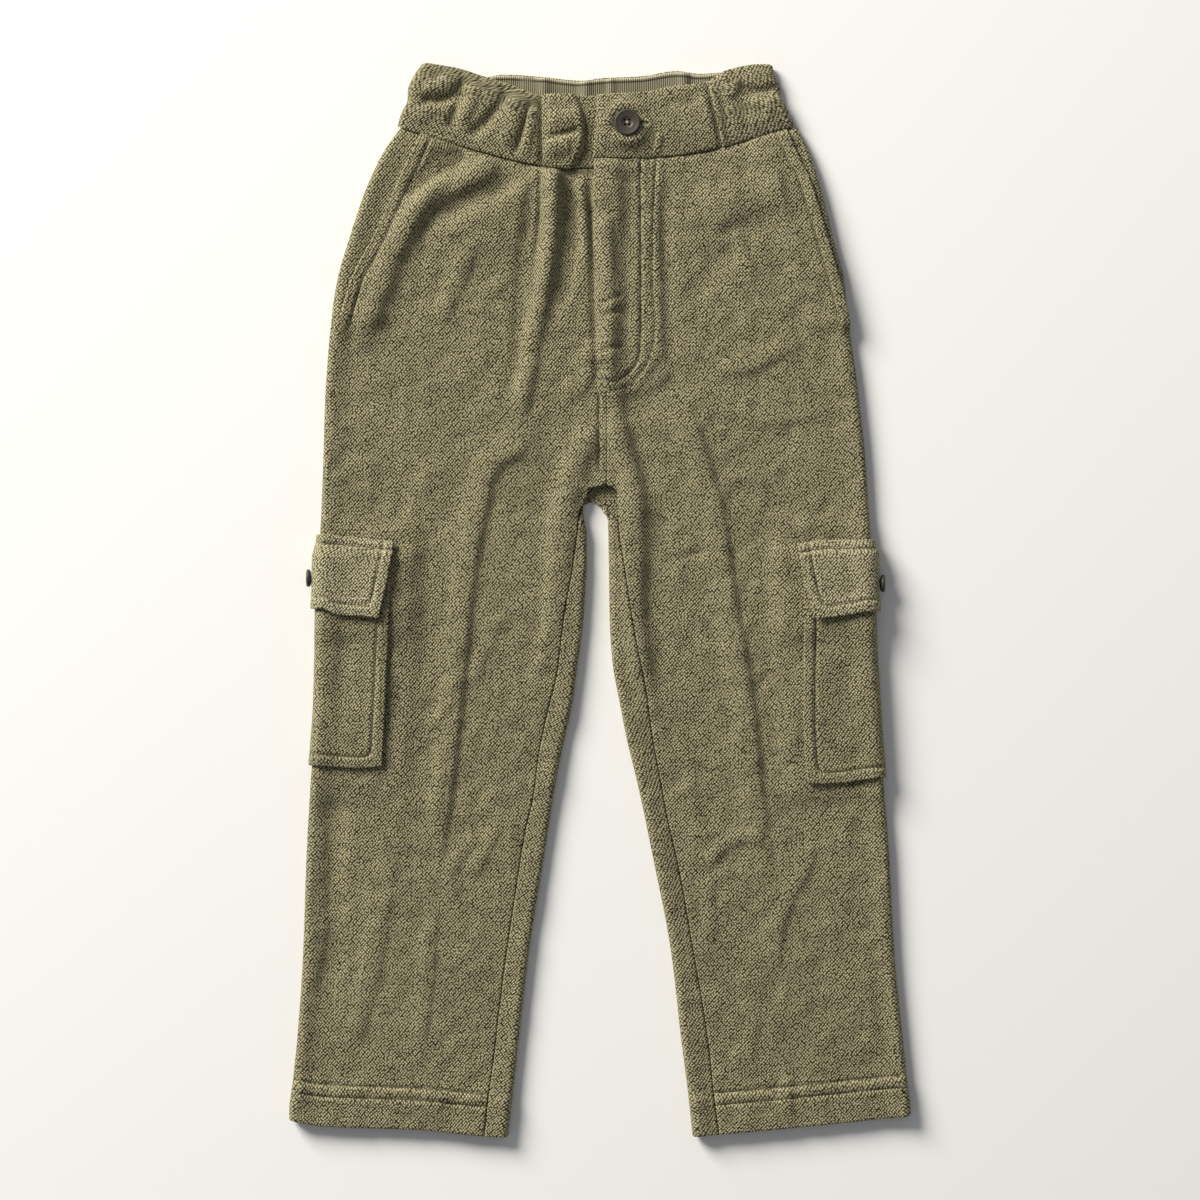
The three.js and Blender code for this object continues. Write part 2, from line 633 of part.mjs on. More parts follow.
function cargoFlap(leg) {
  const shares = [1, 0.88, 0.76, 0.64, 0.3, 0];
  const underAt = (y) => 1 + ramp(...POCKET_RAMP, y);
  const overAt = (y) => 1.12 + 0.88 * ramp(36, 25, y); // a little early, over the pocket's top
  return patchWall(leg, shares, leg.flapTop, leg.flapBottom, leg.flapEdge, overAt, underAt);
}

// Waistband
const SHARES_UP = [0, 0.14, 0.36, 0.64, 0.86, 1];
const swell = (up) => Math.sin(Math.PI * clamp(up, 0, 1)) ** 0.7;

function elasticZ(x, y, up) {
  return BAND_Z + (PUFF + foldHeight(GATHERS, x, y)) * swell(up);
}

function elasticBand(legs) {
  const tops = { left: curve(ACROSS.bandTop.left), right: curve(ACROSS.bandTop.right) };
  const backTop = curve(ACROSS.backTop);
  const backSeam = curve(ACROSS.backSeam);
  const reach = (BAND_Z - BACK_BAND_Z) / 2 + BAND / 2;
  const corner = {
    left: { seam: EDGES.left.side[0][1] + reach, top: ACROSS.bandTop.left[0][0] + reach },
    right: { seam: EDGES.right.side[0][1] - reach, top: ACROSS.bandTop.right.at(-1)[0] - reach },
  };
  const frontStretch = (side, share) =>
    SHARES_UP.map((up) => {
      const leg = legs[side];
      const start = (leg.out * WAIST_GAP) / 2;
      const seamX = lerp(JOIN[side].seam + start, corner[side].seam, share);
      const topX = lerp(JOIN[side].top + start, corner[side].top, share);
      const x = lerp(seamX, topX, up);
      const y = lerp(leg.waistSeam(seamX) + WAIST_GAP / 2, tops[side](topX), up);
      return new THREE.Vector3(x, y, elasticZ(x, y, up));
    });
  const backStretch = (share) =>
    SHARES_UP.map((up) => {
      const seamX = lerp(corner.left.seam, corner.right.seam, share);
      const topX = lerp(corner.left.top, corner.right.top, share);
      const x = lerp(seamX, topX, up);
      const y = lerp(backSeam(seamX) + WAIST_GAP / 2, backTop(topX), up);
      const gathers = BACK_GATHERS.reduce(
        (sum, at) => sum + Math.exp(-(((x - at) / BACK_GATHER.width) ** 2)), 0,
      );
      const pinch = BACK_GATHER.height * gathers * swell(up);
      const point = new THREE.Vector3(x, y, BACK_BAND_Z + pinch / 2);
      point.cloth = BAND - pinch;
      return point;
    });
  const turnStretch = (side, half) => {
    const front = frontStretch(side, 1);
    const back = backStretch(side === "left" ? 0 : 1);
    const seam = legs[side].waistSeam;
    return front.map((top, i) => {
      const low = back[i];
      const turn = half * Math.PI;
      const proud = legs[side].out * ((BAND_Z - BACK_BAND_Z) / 2) * Math.sin(turn);
      const climb = (seam(top.x + proud) - seam(top.x)) * (1 - SHARES_UP[i]);
      const z = low.z + ((top.z - low.z) / 2) * (1 + Math.cos(turn));
      return new THREE.Vector3(top.x + proud, lerp(top.y, low.y, half) + climb, z);
    });
  };
  const steps = (count) => Array.from({ length: count + 1 }, (_, i) => i / count);
  const halfTurns = steps(6).slice(1, -1);
  const sections = [
    ...steps(20).map((share) => frontStretch("left", share)),
    ...halfTurns.map((half) => turnStretch("left", half)),
    ...steps(30).map((share) => backStretch(share)),
    ...[...halfTurns].reverse().map((half) => turnStretch("right", half)),
    ...steps(12).reverse().map((share) => frontStretch("right", share)),
  ];
  return clothWall(sections, () => BAND);
}

function bandEnd(columns, seamXs, topXs, seam, top, zAt) {
  const sections = Array.from({ length: columns + 1 }, (_, i) => {
    const share = i / columns;
    const seamX = lerp(...seamXs, share);
    const topX = lerp(...topXs, share);
    return SHARES_UP.map((up) => {
      const x = lerp(seamX, topX, up);
      const y = lerp(seam(seamX) + WAIST_GAP / 2, top(topX), up);
      return new THREE.Vector3(x, y, zAt(x, up));
    });
  });
  return clothWall(sections, () => BAND);
}

const LAPPED_Z = BAND_Z - 0.2; // the left end, under the right one
function frontBandLeft() {
  const pleat = (x) => ramp(-33.5, -27, x) * ramp(-9, -13.5, x);
  return bandEnd(
    12,
    [JOIN.left.seam + WAIST_GAP / 2, FLY_UNDERLAP - 1],
    [JOIN.left.top + WAIST_GAP / 2, FLY_UNDERLAP - 1],
    curve(ACROSS.waistSeam.left),
    curve(ACROSS.bandTop.left),
    (x, up) => LAPPED_Z + PLEAT * pleat(x) * swell(up),
  );
}

const overlapRise = (x) => (BAND + GAP - 0.2) * ramp(36, 9, x);
const frontBandRightZ = (x, up) => BAND_Z + overlapRise(x) + FLAT_PUFF * swell(up);
function frontBandRight() {
  return bandEnd(
    12,
    [-4, JOIN.right.seam - WAIST_GAP / 2],
    [-1.5, JOIN.right.top - WAIST_GAP / 2],
    curve(ACROSS.waistSeam.right),
    curve(ACROSS.bandTop.right),
    frontBandRightZ,
  );
}

function backFacing() {
  const top = curve(ACROSS.backTop);
  const seam = curve(ACROSS.backSeam);
  const columns = 16;
  const sections = Array.from({ length: columns + 1 }, (_, i) => {
    const share = i / columns;
    return [0, 1].map((up) => {
      const x = lerp(lerp(-109, 108, share), lerp(-96, 93, share), up);
      return new THREE.Vector3(x, lerp(seam(x) + 1, top(x) - 1.8, up), FACING_Z);
    });
  });
  return clothWall(sections, () => FACING);
}

// Buttons
const wasm = await Module();
wasm.setup();

function toSolid(geometry) {
  const plain = geometry.index ? geometry.clone() : geometry.toNonIndexed();
  plain.deleteAttribute("normal");
  plain.deleteAttribute("uv");
  const merged = mergeVertices(plain, 1e-4);
  return new wasm.Manifold(
    new wasm.Mesh({
      numProp: 3,
      vertProperties: merged.getAttribute("position").array,
      triVerts: new Uint32Array(merged.index.array),
    }),
  );
}

// A four-hole button with a raised rim and a dished middle, standing on z = 0
function buttonGeometry({ radius, height, sides }) {
  const profile = [
    [0, 0], [0.72, 0], [0.95, 0.3], [1, 0.62], [0.93, 0.93], [0.84, 1], [0.7, 0.9], [0.6, 0.62],
    [0, 0.58],
  ].map(([r, h]) => new THREE.Vector2(r * radius, h * height));
  const lathe = new THREE.LatheGeometry(profile, sides).rotateX(Math.PI / 2);
  let solid = toSolid(lathe);
  if (solid.volume() < 0) throw new Error("the button's profile runs the wrong way");
  const hole = new THREE.CylinderGeometry(radius * 0.12, radius * 0.12, height * 4, 6);
  hole.rotateX(Math.PI / 2);
  const offset = radius * 0.24;
  for (const [x, y] of [[1, 1], [1, -1], [-1, 1], [-1, -1]]) {
    solid = solid.subtract(toSolid(hole.clone().translate(x * offset, y * offset, 0)));
  }
  const mesh = solid.getMesh();
  const geometry = new THREE.BufferGeometry();
  geometry.setAttribute("position", new THREE.BufferAttribute(mesh.vertProperties, 3));
  geometry.setIndex(new THREE.BufferAttribute(mesh.triVerts, 1));
  return geometry;
}

const trousers = new THREE.Group();

function add(name, geometry, color, roughness = 0.95) {
  geometry.computeVertexNormals();
  const material = new THREE.MeshStandardMaterial({ color, roughness, metalness: 0 });
  const mesh = new THREE.Mesh(geometry, material);
  mesh.name = name;
  trousers.add(mesh);
  return mesh;
}

const legs = { left: makeLeg("left", -1), right: makeLeg("right", 1) };

for (const leg of Object.values(legs)) {
  add(`front_panel_${leg.name}`, frontPanel(leg), COLOURS.front);
  add(`back_panel_${leg.name}`, backPanel(leg), COLOURS.back);
  add(`hip_panel_${leg.name}`, hipPanel(leg), COLOURS.hip);
  add(`cargo_pocket_${leg.name}`, cargoPocket(leg), COLOURS.pocket);
  add(`cargo_flap_${leg.name}`, cargoFlap(leg), COLOURS.flap);

  const y = FLAP_BUTTON[leg.name];
  const button = add(`flap_button_${leg.name}`, buttonGeometry(FLAP_BUTTON), COLOURS.button, 0.45);
  const face = leg.side(y) + leg.out * (2 * LAYER + GAP);
  button.rotation.set(0, (leg.out * Math.PI) / 2, 0);
  button.position.set(face, y, sideArc(leg, y).middle);
}

add("waistband_elastic", elasticBand(legs), COLOURS.band);
add("waistband_front_left", frontBandLeft(), COLOURS.band);
add("waistband_front_right", frontBandRight(), COLOURS.band);
add("waistband_back_facing", backFacing(), COLOURS.facing);

const waistButton = add("front_button", buttonGeometry(WAIST_BUTTON), COLOURS.button, 0.45);
const buttonSeat = frontBandRightZ(WAIST_BUTTON.x - WAIST_BUTTON.radius, 0.5) + BAND / 2 + GAP;
waistButton.position.set(WAIST_BUTTON.x, WAIST_BUTTON.y, buttonSeat);

export default trousers;
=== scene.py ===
# %% [markdown]
# A child's cargo trousers in olive towelling, laid flat on their back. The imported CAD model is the
# frame: it has every panel as a plain wall of cloth in its right place. This lesson makes the cloth
# that is seen. Each panel is a fine grid, moved onto the same curves as its CAD wall, creased,
# stitched and given the thickness of the cloth. Lengths are in millimetres until a mesh is filled,
# because a pattern cutter works in millimetres too.

import math
from types import SimpleNamespace

import bmesh
import bpy
import numpy as np
from mathutils import Matrix, Vector, noise
from mathutils.bvhtree import BVHTree


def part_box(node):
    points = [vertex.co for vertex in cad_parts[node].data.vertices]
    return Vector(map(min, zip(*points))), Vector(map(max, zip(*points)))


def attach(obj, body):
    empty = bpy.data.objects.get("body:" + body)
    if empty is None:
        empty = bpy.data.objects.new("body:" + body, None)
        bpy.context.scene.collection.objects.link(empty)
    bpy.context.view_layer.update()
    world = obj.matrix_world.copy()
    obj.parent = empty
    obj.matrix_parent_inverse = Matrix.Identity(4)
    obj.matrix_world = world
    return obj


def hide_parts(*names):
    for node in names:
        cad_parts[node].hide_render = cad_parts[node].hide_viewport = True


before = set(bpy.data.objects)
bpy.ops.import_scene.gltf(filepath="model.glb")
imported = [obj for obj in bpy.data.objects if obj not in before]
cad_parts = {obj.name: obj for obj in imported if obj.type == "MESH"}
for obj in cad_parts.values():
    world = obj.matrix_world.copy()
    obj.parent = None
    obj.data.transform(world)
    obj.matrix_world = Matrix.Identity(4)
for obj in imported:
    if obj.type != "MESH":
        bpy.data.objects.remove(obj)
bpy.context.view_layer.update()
MM = 0.001

# %% [markdown]
# The sizes of the cloth come first. Towelling is a knitted ground with upright loops and is about
# 1.8 mm thick. A hem is two layers pressed and sewn, and the waistband has elastic inside. The legs
# lie on their back halves, with a little air between back and front.

# %% Sizes of the cloth
CLOTH = 1.8
HEM = 2.8
HEM_DEPTH = 23
BAND = 2.4
FACING = 1.2
GAP = 0.3
WAIST_GAP = 0.3
AIR = 2.4
LAYER = CLOTH + GAP  # a patch lies this far out from the cloth under it

BACK_BAND_Z = BAND / 2
FACING_Z = BAND + GAP + FACING / 2
BAND_Z = 5.6
WAIST_RISE = 0.4
WAIST_RISE_LENGTH = 34
SEAM_DIP = 1.8  # the cloth is pulled down at the waist seam
ROLL = 1.9  # the side edges of a leg stand this much prouder than its middle
ROLL_WIDTH = 15
PUFF = 3.0
FLAT_PUFF = 2.4
FLY_UNDERLAP = 7
FLY_LIFT = 2.5
JOINS = {"left": (-33, -33.5), "right": (70, 61.5)}  # x of a band join at its seam and at its top

HIP_TUCK = 12
HIP_END = 163.5
RAISED, RAISED_RIM = 18, 14
PATCH_WIDTH, PLATEAU_RIM = 49, 14
POCKET_TOP, POCKET_FOOT, FLAP_FOOT = 22, -107, -14
POCKET_RAMP, FLAP_TOP_RAMP = (33, 24), (53, 39)
TOP_FRONT, TOP_BACK, BOTTOM = 262, 266, -304
TOP_REACH, BOTTOM_REACH = 75, 60
WRAP_RAMP = (55, 43)

# %% [markdown]
# A garment's edges are smooth curves, so each is a short list of places that a cutter would mark,
# joined by a curve that never swings past them. Every function here takes whole arrays, because a
# panel has tens of thousands of points and one array call is far quicker than a loop.

# %% Curves and ramps
def ramp(start, end, t):
    """0 before start, 1 after end and smooth between them. It also runs downwards."""
    s = np.clip((t - start) / (end - start), 0, 1)
    return s * s * (3 - 2 * s)


def mix(a, b, share):
    return a + (b - a) * share


def curve(rows):
    """A smooth curve through rows of (t, value)."""
    t, value = np.array(sorted(rows), float).T
    width = np.diff(t)
    chord = np.diff(value) / width
    steady = chord[:-1] * chord[1:] > 0
    total = np.where(steady, chord[:-1] + chord[1:], 1)
    inner = np.where(steady, 2 * chord[:-1] * chord[1:] / total, 0)
    slope = np.concatenate([chord[:1], inner, chord[-1:]])

    def at(place):
        place = np.clip(place, t[0], t[-1])
        i = np.clip(np.searchsorted(t, place, side="right") - 1, 0, len(t) - 2)
        s = (place - t[i]) / width[i]
        bend = width[i] * s * (1 - s) * (slope[i] * (1 - s) - slope[i + 1] * s)
        return value[i] + (value[i + 1] - value[i]) * s * s * (3 - 2 * s) + bend

    return at


# %% [markdown]
# These are the marks of the two legs, as rows of (y, x): the side edge, the inner edge, the inner
# edge of the front panel (centre, crotch and inseam) and the slanting edge of the hip pocket. They
# are the CAD model's own, so the cloth lies where the solids are.

# %% Marks of the legs
EDGES = {
    "left": {
        "side": [
            (271, -113.5), (257, -123.5), (245.5, -129.5), (228.5, -136.5), (205.5, -144),
            (183, -150.5), (160, -154), (137, -156), (114, -157.5), (80, -158.5), (22.5, -160.5),
            (-11.5, -161), (-57.5, -162), (-80.5, -163.5), (-103, -165.5), (-143.5, -168),
            (-200.5, -170), (-252, -173.5), (-275, -176), (-292, -178), (-306, -177.5),
        ],
        "inner": [
            (57, -3.02), (56, -4.5), (54.5, -9), (52.5, -10), (45.5, -9), (37, -7.5), (22.5, -7.5),
            (5.5, -8.5), (-11.5, -9.5), (-34.5, -12.5), (-57.5, -15.5), (-80.5, -20.5), (-103, -25),
            (-143.5, -31.5), (-200.5, -40.5), (-252, -46.5), (-275, -49), (-307, -52.5),
        ],
        "front": [
            (250, 7), (126.5, 7), (119, 4.1), (67.4, 4.1), (66, 2), (64.6, -5.5), (57, -8.5),
            (52, -11.5), (46, -12.6), (40, -12.8), (34, -13.8), (15, -16.5), (-6.5, -20.5),
            (-43, -25), (-65, -30.5), (-87, -35), (-113.5, -38.5), (-132.5, -43), (-170.5, -49),
            (-204.5, -54), (-236, -58), (-262.5, -61), (-280, -63.5), (-307, -66.5),
        ],
        "pocket": [
            (271, -101), (268.5, -102), (242, -114.5), (210, -128.5), (184, -142), (158.5, -150),
            (150, -154.5),
        ],
    },
    "right": {
        "side": [
            (271, 112.5), (257, 119.5), (245.5, 123.5), (228.5, 128.5), (205.5, 134), (183, 140),
            (160, 142), (137, 145.5), (114, 148.5), (80, 152), (57, 153.5), (22.5, 155.5),
            (-11.5, 156), (-57.5, 158.5), (-80.5, 160), (-103, 162), (-143.5, 165.5),
            (-200.5, 168.5), (-252, 173.5), (-275, 176), (-292, 178), (-306, 178),
        ],
        "inner": [
            (56, -2.98), (55, -2.3), (53.5, 1), (51, 2.5), (45.5, 4.5), (22.5, 5), (-11.5, 5.5),
            (-34.5, 7), (-57.5, 11), (-80.5, 15.5), (-103, 21), (-143.5, 29.5), (-200.5, 40.5),
            (-252, 46.5), (-275, 49.5), (-307, 53),
        ],
        "front": [
            (254, -3.5), (215.5, -3), (180.5, -1.5), (145.5, -0.5), (126.5, 0), (123.5, 1.5),
            (118.5, 4.0), (65.8, 4.0), (64.8, 6), (63.6, 9.4), (60, 10), (40, 11), (17, 14.5), (-6.5, 18),
            (-29, 22), (-50.5, 26.5), (-77, 30), (-101.5, 34.5), (-123.5, 38.5), (-154.5, 45.5),
            (-203.5, 54), (-229.5, 58.5), (-256, 62.5), (-280.5, 65), (-307, 68.5),
        ],
        "pocket": [
            (271, 106), (253, 114), (242, 119.5), (216.5, 127.5), (195.5, 133.5), (172.5, 140),
            (150, 144.5),
        ],
    },
}

# Edges that run across, as rows of (x, y)
WAIST_SEAM = {
    "left": [
        (-113.5, 271), (-98, 265.8), (-82, 260.5), (-64.5, 255.5), (-46.5, 251), (-30, 247.8),
        (-16, 246.8), (8, 246.8),
    ],
    "right": [
        (-4, 252.8), (20, 252.6), (36, 253.4), (53, 255.6), (70, 259.2), (88, 264), (100, 267.6),
        (112.5, 271),
    ],
}
BAND_TOP = {
    "left": [
        (-100.5, 307.5), (-82, 304), (-66, 299), (-53, 295), (-33.5, 289), (-15, 289), (8, 287.5),
    ],
    "right": [
        (-4, 288.5), (26.5, 290.5), (40, 293.5), (57.5, 295.5), (66.5, 299), (72, 302.5),
        (89.5, 306), (97.5, 306),
    ],
}
BACK_SEAM = [(-113.5, 271), (0, 264), (112.5, 271)]
BACK_TOP = [
    (-100.5, 307.5), (-85.5, 303), (-67, 299.5), (-55, 301), (-31.5, 299.5), (-11, 297.5), (2, 299),
    (23, 300), (44, 303), (57.5, 301.5), (72, 302.5), (89.5, 305.5), (97.5, 306),
]
HEM_EDGE = {
    "left": [(-177.5, -297.5), (-158.5, -301), (-105, -303), (-60.5, -307), (-52.5, -307.2)],
    "right": [(53, -307.2), (65, -306), (99, -303), (148.5, -298), (177.5, -295)],
}

# Cargo pockets and flaps: front edges as (y, x), ends as (distance in from the side edge, y)
PATCHES = {
    "left": {
        "pocket_edge": [(22, -119.5), (-11.5, -120.5), (-56.5, -122.5), (-96, -124.5)],
        "pocket_bottom": [(0, -94.5), (23, -96), (42, -94)],
        "flap_edge": [(34, -117), (20, -119.5), (-12, -126.5)],
        "flap_top": [(0, 37.5), (44, 33)],
        "flap_bottom": [(0, -5), (8, -8.5), (24, -9.5), (36, -12)],
    },
    "right": {
        "pocket_edge": [(22, 116), (-5.5, 116.5), (-66.5, 116), (-105, 118.5)],
        "pocket_bottom": [(0, -101.5), (28, -105), (46, -104.5)],
        "flap_edge": [(34, 112.5), (20, 114.5), (-8, 121.5)],
        "flap_top": [(0, 34.5), (20, 34.5), (44, 31)],
        "flap_bottom": [(0, -6.5), (14, -9), (30, -10.5), (36, -8)],
    },
}

# %% [markdown]
# Creases are what make flat cloth look like cloth. Each one here is placed as a bent line
# with a height and two widths: `lit` is the flank towards the window at the upper left, and `shaded`
# the flank away from it. A pressed crease has a wide soft flank and a narrow steep one. Each line
# runs down or to the left, so that its left-hand side is the shaded one. A trough has a height
# below zero.

# %% Creases of the fronts
CREASES = [
    # left hip: (points, height, lit, shaded)
    ([(-58, 252), (-70, 243), (-80, 238), (-92, 233), (-101, 227), (-108, 217), (-115, 204),
      (-122, 188)], 4.8, 6.5, 6),
    ([(-116, 204), (-121, 191), (-127, 174), (-133, 156), (-138, 136)], 2.6, 6, 6),
    ([(-24, 250), (-33, 241), (-45, 231), (-56, 224), (-68, 218), (-80, 213), (-95, 206),
      (-106, 192)], 3.6, 7, 22),
    ([(-76, 256), (-86, 251), (-94, 246), (-101, 239), (-107, 228)], -4.2, 6, 4.5),
    ([(-74, 200), (-80, 182), (-87, 168), (-96, 150)], 1.5, 6, 3.5),
    ([(-50, 186), (-63, 174), (-76, 158)], 0.8, 5, 2.5),
    # long fold beside the fly and the troughs either side of it
    ([(-33.6, 256), (-34, 230), (-36, 205), (-39, 184)], -1.6, 2, 1.8),
    ([(-26.5, 270), (-26.5, 240), (-26.5, 225), (-28, 205), (-31, 185), (-34, 168), (-37.5, 150)],
     4.8, 4.8, 3.6),
    ([(-33, 172), (-37.5, 152), (-41, 130), (-45, 112), (-49, 96)], 2.6, 5, 4.5),
    ([(-37, 246), (-40, 228), (-43, 205), (-45, 180), (-46.5, 158), (-49, 132), (-53, 108)],
     -1.6, 4, 4),
    ([(-17, 256), (-17, 226), (-17, 205), (-19, 188), (-22, 170), (-24, 155)], -2.2, 5, 5),
    ([(-13, 242), (-10, 225), (-8, 205), (-6.5, 186)], 1.8, 3.2, 2.4),
    ([(-2, 150), (-5, 134), (-12, 121), (-24, 116)], 1.8, 8, 4),
    # left thigh
    ([(-5, 106), (-8, 98), (-11, 88), (-15, 74), (-19, 60), (-22, 42), (-24, 20), (-26, 0),
      (-28, -20), (-31, -40), (-35, -62)], 3.0, 6, 7.5),
    ([(-34, 108), (-29, 88), (-33, 62), (-37, 30)], -1.2, 6, 6),
    ([(-39, 106), (-43, 92), (-49, 84), (-58, 80), (-64, 70), (-67, 55), (-71, 36), (-74, 18),
      (-77, -5), (-79, -30), (-82, -58), (-85, -85), (-88, -112), (-93, -145), (-97, -180)],
     2.6, 9, 3.6),
    ([(-99, 34), (-108, 22), (-110, 6)], 1.0, 4, 3),
    ([(-108, 80), (-112, 60), (-117, 38)], -0.9, 4, 4),
    ([(-84, -56), (-93, -68), (-104, -77)], 0.7, 4, 2.5),
    ([(-57, -8), (-66, -30), (-76, -52)], 0.9, 5, 3),
    # left shin
    ([(-90, -119), (-112, -118), (-140, -120)], 0.8, 6, 3),
    ([(-57, -128), (-65, -142), (-75, -162)], 1.3, 5, 3),
    ([(-69, -134), (-80, -147), (-92, -165)], 1.2, 5, 3),
    ([(-94, -170), (-96.5, -200), (-98, -225), (-102, -250), (-108, -275)], 1.0, 6, 2.6),
    ([(-119, -140), (-125, -185), (-130, -215), (-137, -243), (-149, -280)], 1.2, 8, 4),
    ([(-152, -96), (-152.5, -150), (-152, -190), (-156, -215), (-163, -248)], -2.0, 5, 7),
    ([(-90, -287), (-80, -297), (-70, -306)], -1.0, 6, 4),
    # fly
    ([(-5.2, 256), (-4.6, 215), (-3.2, 180), (-2.2, 145), (-1.4, 112)], -2.3, 3, 1.1),
    ([(3, 268), (3.2, 240), (3.6, 200)], 1.4, 5, 7),
    ([(3.6, 222), (4.4, 190), (5, 160), (5, 140), (6, 108)], 2.3, 4.4, 3.4),
    ([(10.5, 214), (12.5, 190), (13.5, 170), (13, 150), (11, 128)], -0.9, 3.2, 3.4),
    ([(8, 243), (15, 241), (24, 243)], -0.8, 4, 4),
    ([(13, 175), (6, 172), (-1, 168)], -1.4, 1.5, 1.7),
    ([(14, 166), (7, 164.5), (0, 162)], -1.5, 1.5, 1.7),
    ([(14, 146), (6, 144), (-3, 141)], -1.6, 1.6, 1.8),
    # right hip
    ([(108, 234), (92, 230), (76, 226), (66, 219), (57, 206)], 2.8, 14, 9),
    ([(78, 212), (83, 196), (91, 180)], 1.2, 4, 3),
    ([(78, 203), (66, 191), (57, 180), (52, 168)], -1.5, 6, 6),
    ([(122, 174), (114, 160), (111, 146)], -1.2, 6, 6),
    ([(116, 150), (104, 142), (92, 136), (80, 132), (64, 130)], 1.6, 8, 3.5),
    ([(126, 106), (104, 103), (88, 101), (70, 104)], 1.0, 8, 3),
    ([(36, 240), (37.5, 215), (38, 190), (38, 165), (39, 148), (43, 132), (50, 114)],
     -1.6, 3.5, 4.5),
    ([(44, 128), (30, 115), (12, 111)], -1.5, 5, 8),
    # right thigh
    ([(9, 114), (10, 98), (14, 84), (18, 70), (20, 52), (20, 30), (20, 5), (21, -15), (24, -38),
      (29, -62), (35, -88)], 4.0, 7, 5.5),
    ([(20, 122), (18, 104), (22, 88), (28, 72), (32, 52), (32, 20), (32, -20)], -1.2, 5, 8),
    ([(46, 120), (53, 98), (59, 80), (64, 62), (68.5, 45), (71, 25), (73, 8), (76, -10),
      (80, -28), (83, -48), (86, -70), (88.5, -95), (91, -118), (95, -145), (99, -180)],
     2.6, 9, 3.6),
    ([(64, 28), (50, 25), (36, 22)], -0.8, 2, 2),
    ([(96, 66), (84, 71), (74, 66), (69, 52)], 0.8, 4, 3),
    # right shin
    ([(95, -138), (84, -136), (73, -139), (64, -147), (59, -156)], 1.6, 5, 3.5),
    ([(62, -158), (63, -175), (66, -198)], 0.9, 5, 3),
    ([(120, -138), (119, -152), (112, -163), (107, -175), (102, -189), (100, -216)],
     1.4, 7, 2.8),
    ([(90, -222), (86, -250), (83, -276)], 0.9, 7, 4),
    ([(106, -272), (107, -290), (107, -306)], 1.0, 4, 3),
    ([(47, -104), (54, -125), (60, -146)], 1.2, 6, 5),
    ([(158, -205), (163, -238), (169, -272)], -0.9, 5, 5),
]


def smooth_path(points, steps=5):
    """The given points of a line, joined by a smooth curve."""
    p = np.array(points, float)
    p = np.vstack([2 * p[0] - p[1], p, 2 * p[-1] - p[-2]])
    path = []
    for a, b, c, d in zip(p, p[1:], p[2:], p[3:]):
        for s in np.arange(steps) / steps:
            bend = (2 * a - 5 * b + 4 * c - d) * s**2 + (3 * b - a - 3 * c + d) * s**3
            path.append(0.5 * (2 * b + (c - a) * s + bend))
    return np.array(path + [p[-2]])


def from_path(path, x, y):
    """How far places are from a path, positive on its left-hand side, and how far along (0 to 1)."""
    lengths = np.hypot(*np.diff(path, axis=0).T)
    starts = np.concatenate([[0], np.cumsum(lengths)])
    nearest = np.full(x.shape, np.inf)
    side = np.zeros(x.shape)
    share = np.zeros(x.shape)
    for (ax, ay), (bx, by), start, length in zip(path, path[1:], starts, lengths):
        dx, dy = (bx - ax) / length, (by - ay) / length
        along = np.clip((x - ax) * dx + (y - ay) * dy, 0, length)
        away = np.hypot(x - ax - along * dx, y - ay - along * dy)
        nearer = away < nearest
        nearest = np.where(nearer, away, nearest)
        side = np.where(nearer, np.sign(dx * (y - ay) - dy * (x - ax)), side)
        share = np.where(nearer, (start + along) / starts[-1], share)
    return nearest * side, share


CREST = 2.8  # 2 is a bell; a little more gives a rounder top and steeper flanks


def relief(creases, x, y, start=0.1, end=0.3):
    """What a list of creases adds to the height of the cloth. A crease dies out slowly."""
    height = np.zeros(x.shape)
    for points, peak, lit, shaded in creases:
        path = smooth_path(points)
        reach = 2.3 * max(lit, shaded)
        low, high = path.min(axis=0) - reach, path.max(axis=0) + reach
        near = (x > low[0]) & (x < high[0]) & (y > low[1]) & (y < high[1])
        if not near.any():
            continue
        away, share = from_path(path, x[near], y[near])
        ends = ramp(0, start, share) * ramp(1, 1 - end, share)
        across = np.abs(away) / np.where(away > 0, shaded, lit)
        height[near] += peak * ends * np.exp(-(across ** CREST))
    return height


def wobble(x, y, wave, seed):
    """Smooth random unevenness, the same on each run, from about -0.5 to 0.5."""
    places = zip((x / wave).ravel(), (y / wave).ravel())
    return np.array([noise.noise(Vector((a, b, seed))) for a, b in places]).reshape(x.shape)


def groove(away, depth=1.0, width=0.85):
    """A line of stitches pulls the cloth down to it and leaves it puffed on either side."""
    puff = np.exp(-(((np.abs(away) - 2.2) / 1.3) ** 2))
    return 0.3 * depth * puff - depth * np.exp(-((away / width) ** 2))


print("Creases placed on the fronts:", len(CREASES))

# %% [markdown]
# A leg is a set of those curves and the heights that follow from them. The cloth is lowest on the
# back, lies over the air in the leg, and steps up where the back halves of the cargo pocket and
# flap lie under it. At the side edge it turns round to the back in an arc, which depends on the
# height alone, so it is worked out once for each leg as a table and read from that.

# %% Legs and their heights
def in_from_side(leg, x, y):
    return (leg.side(y) - x) * leg.out


def in_from_inner(leg, x, y):
    return (x - leg.inner(y)) * leg.out


def cloth_at(leg, x, y):
    """Thickness: the hem is turned up and sewn."""
    return mix(CLOTH, HEM, ramp(HEM_DEPTH + 2, HEM_DEPTH - 2, y - leg.hem(x)))


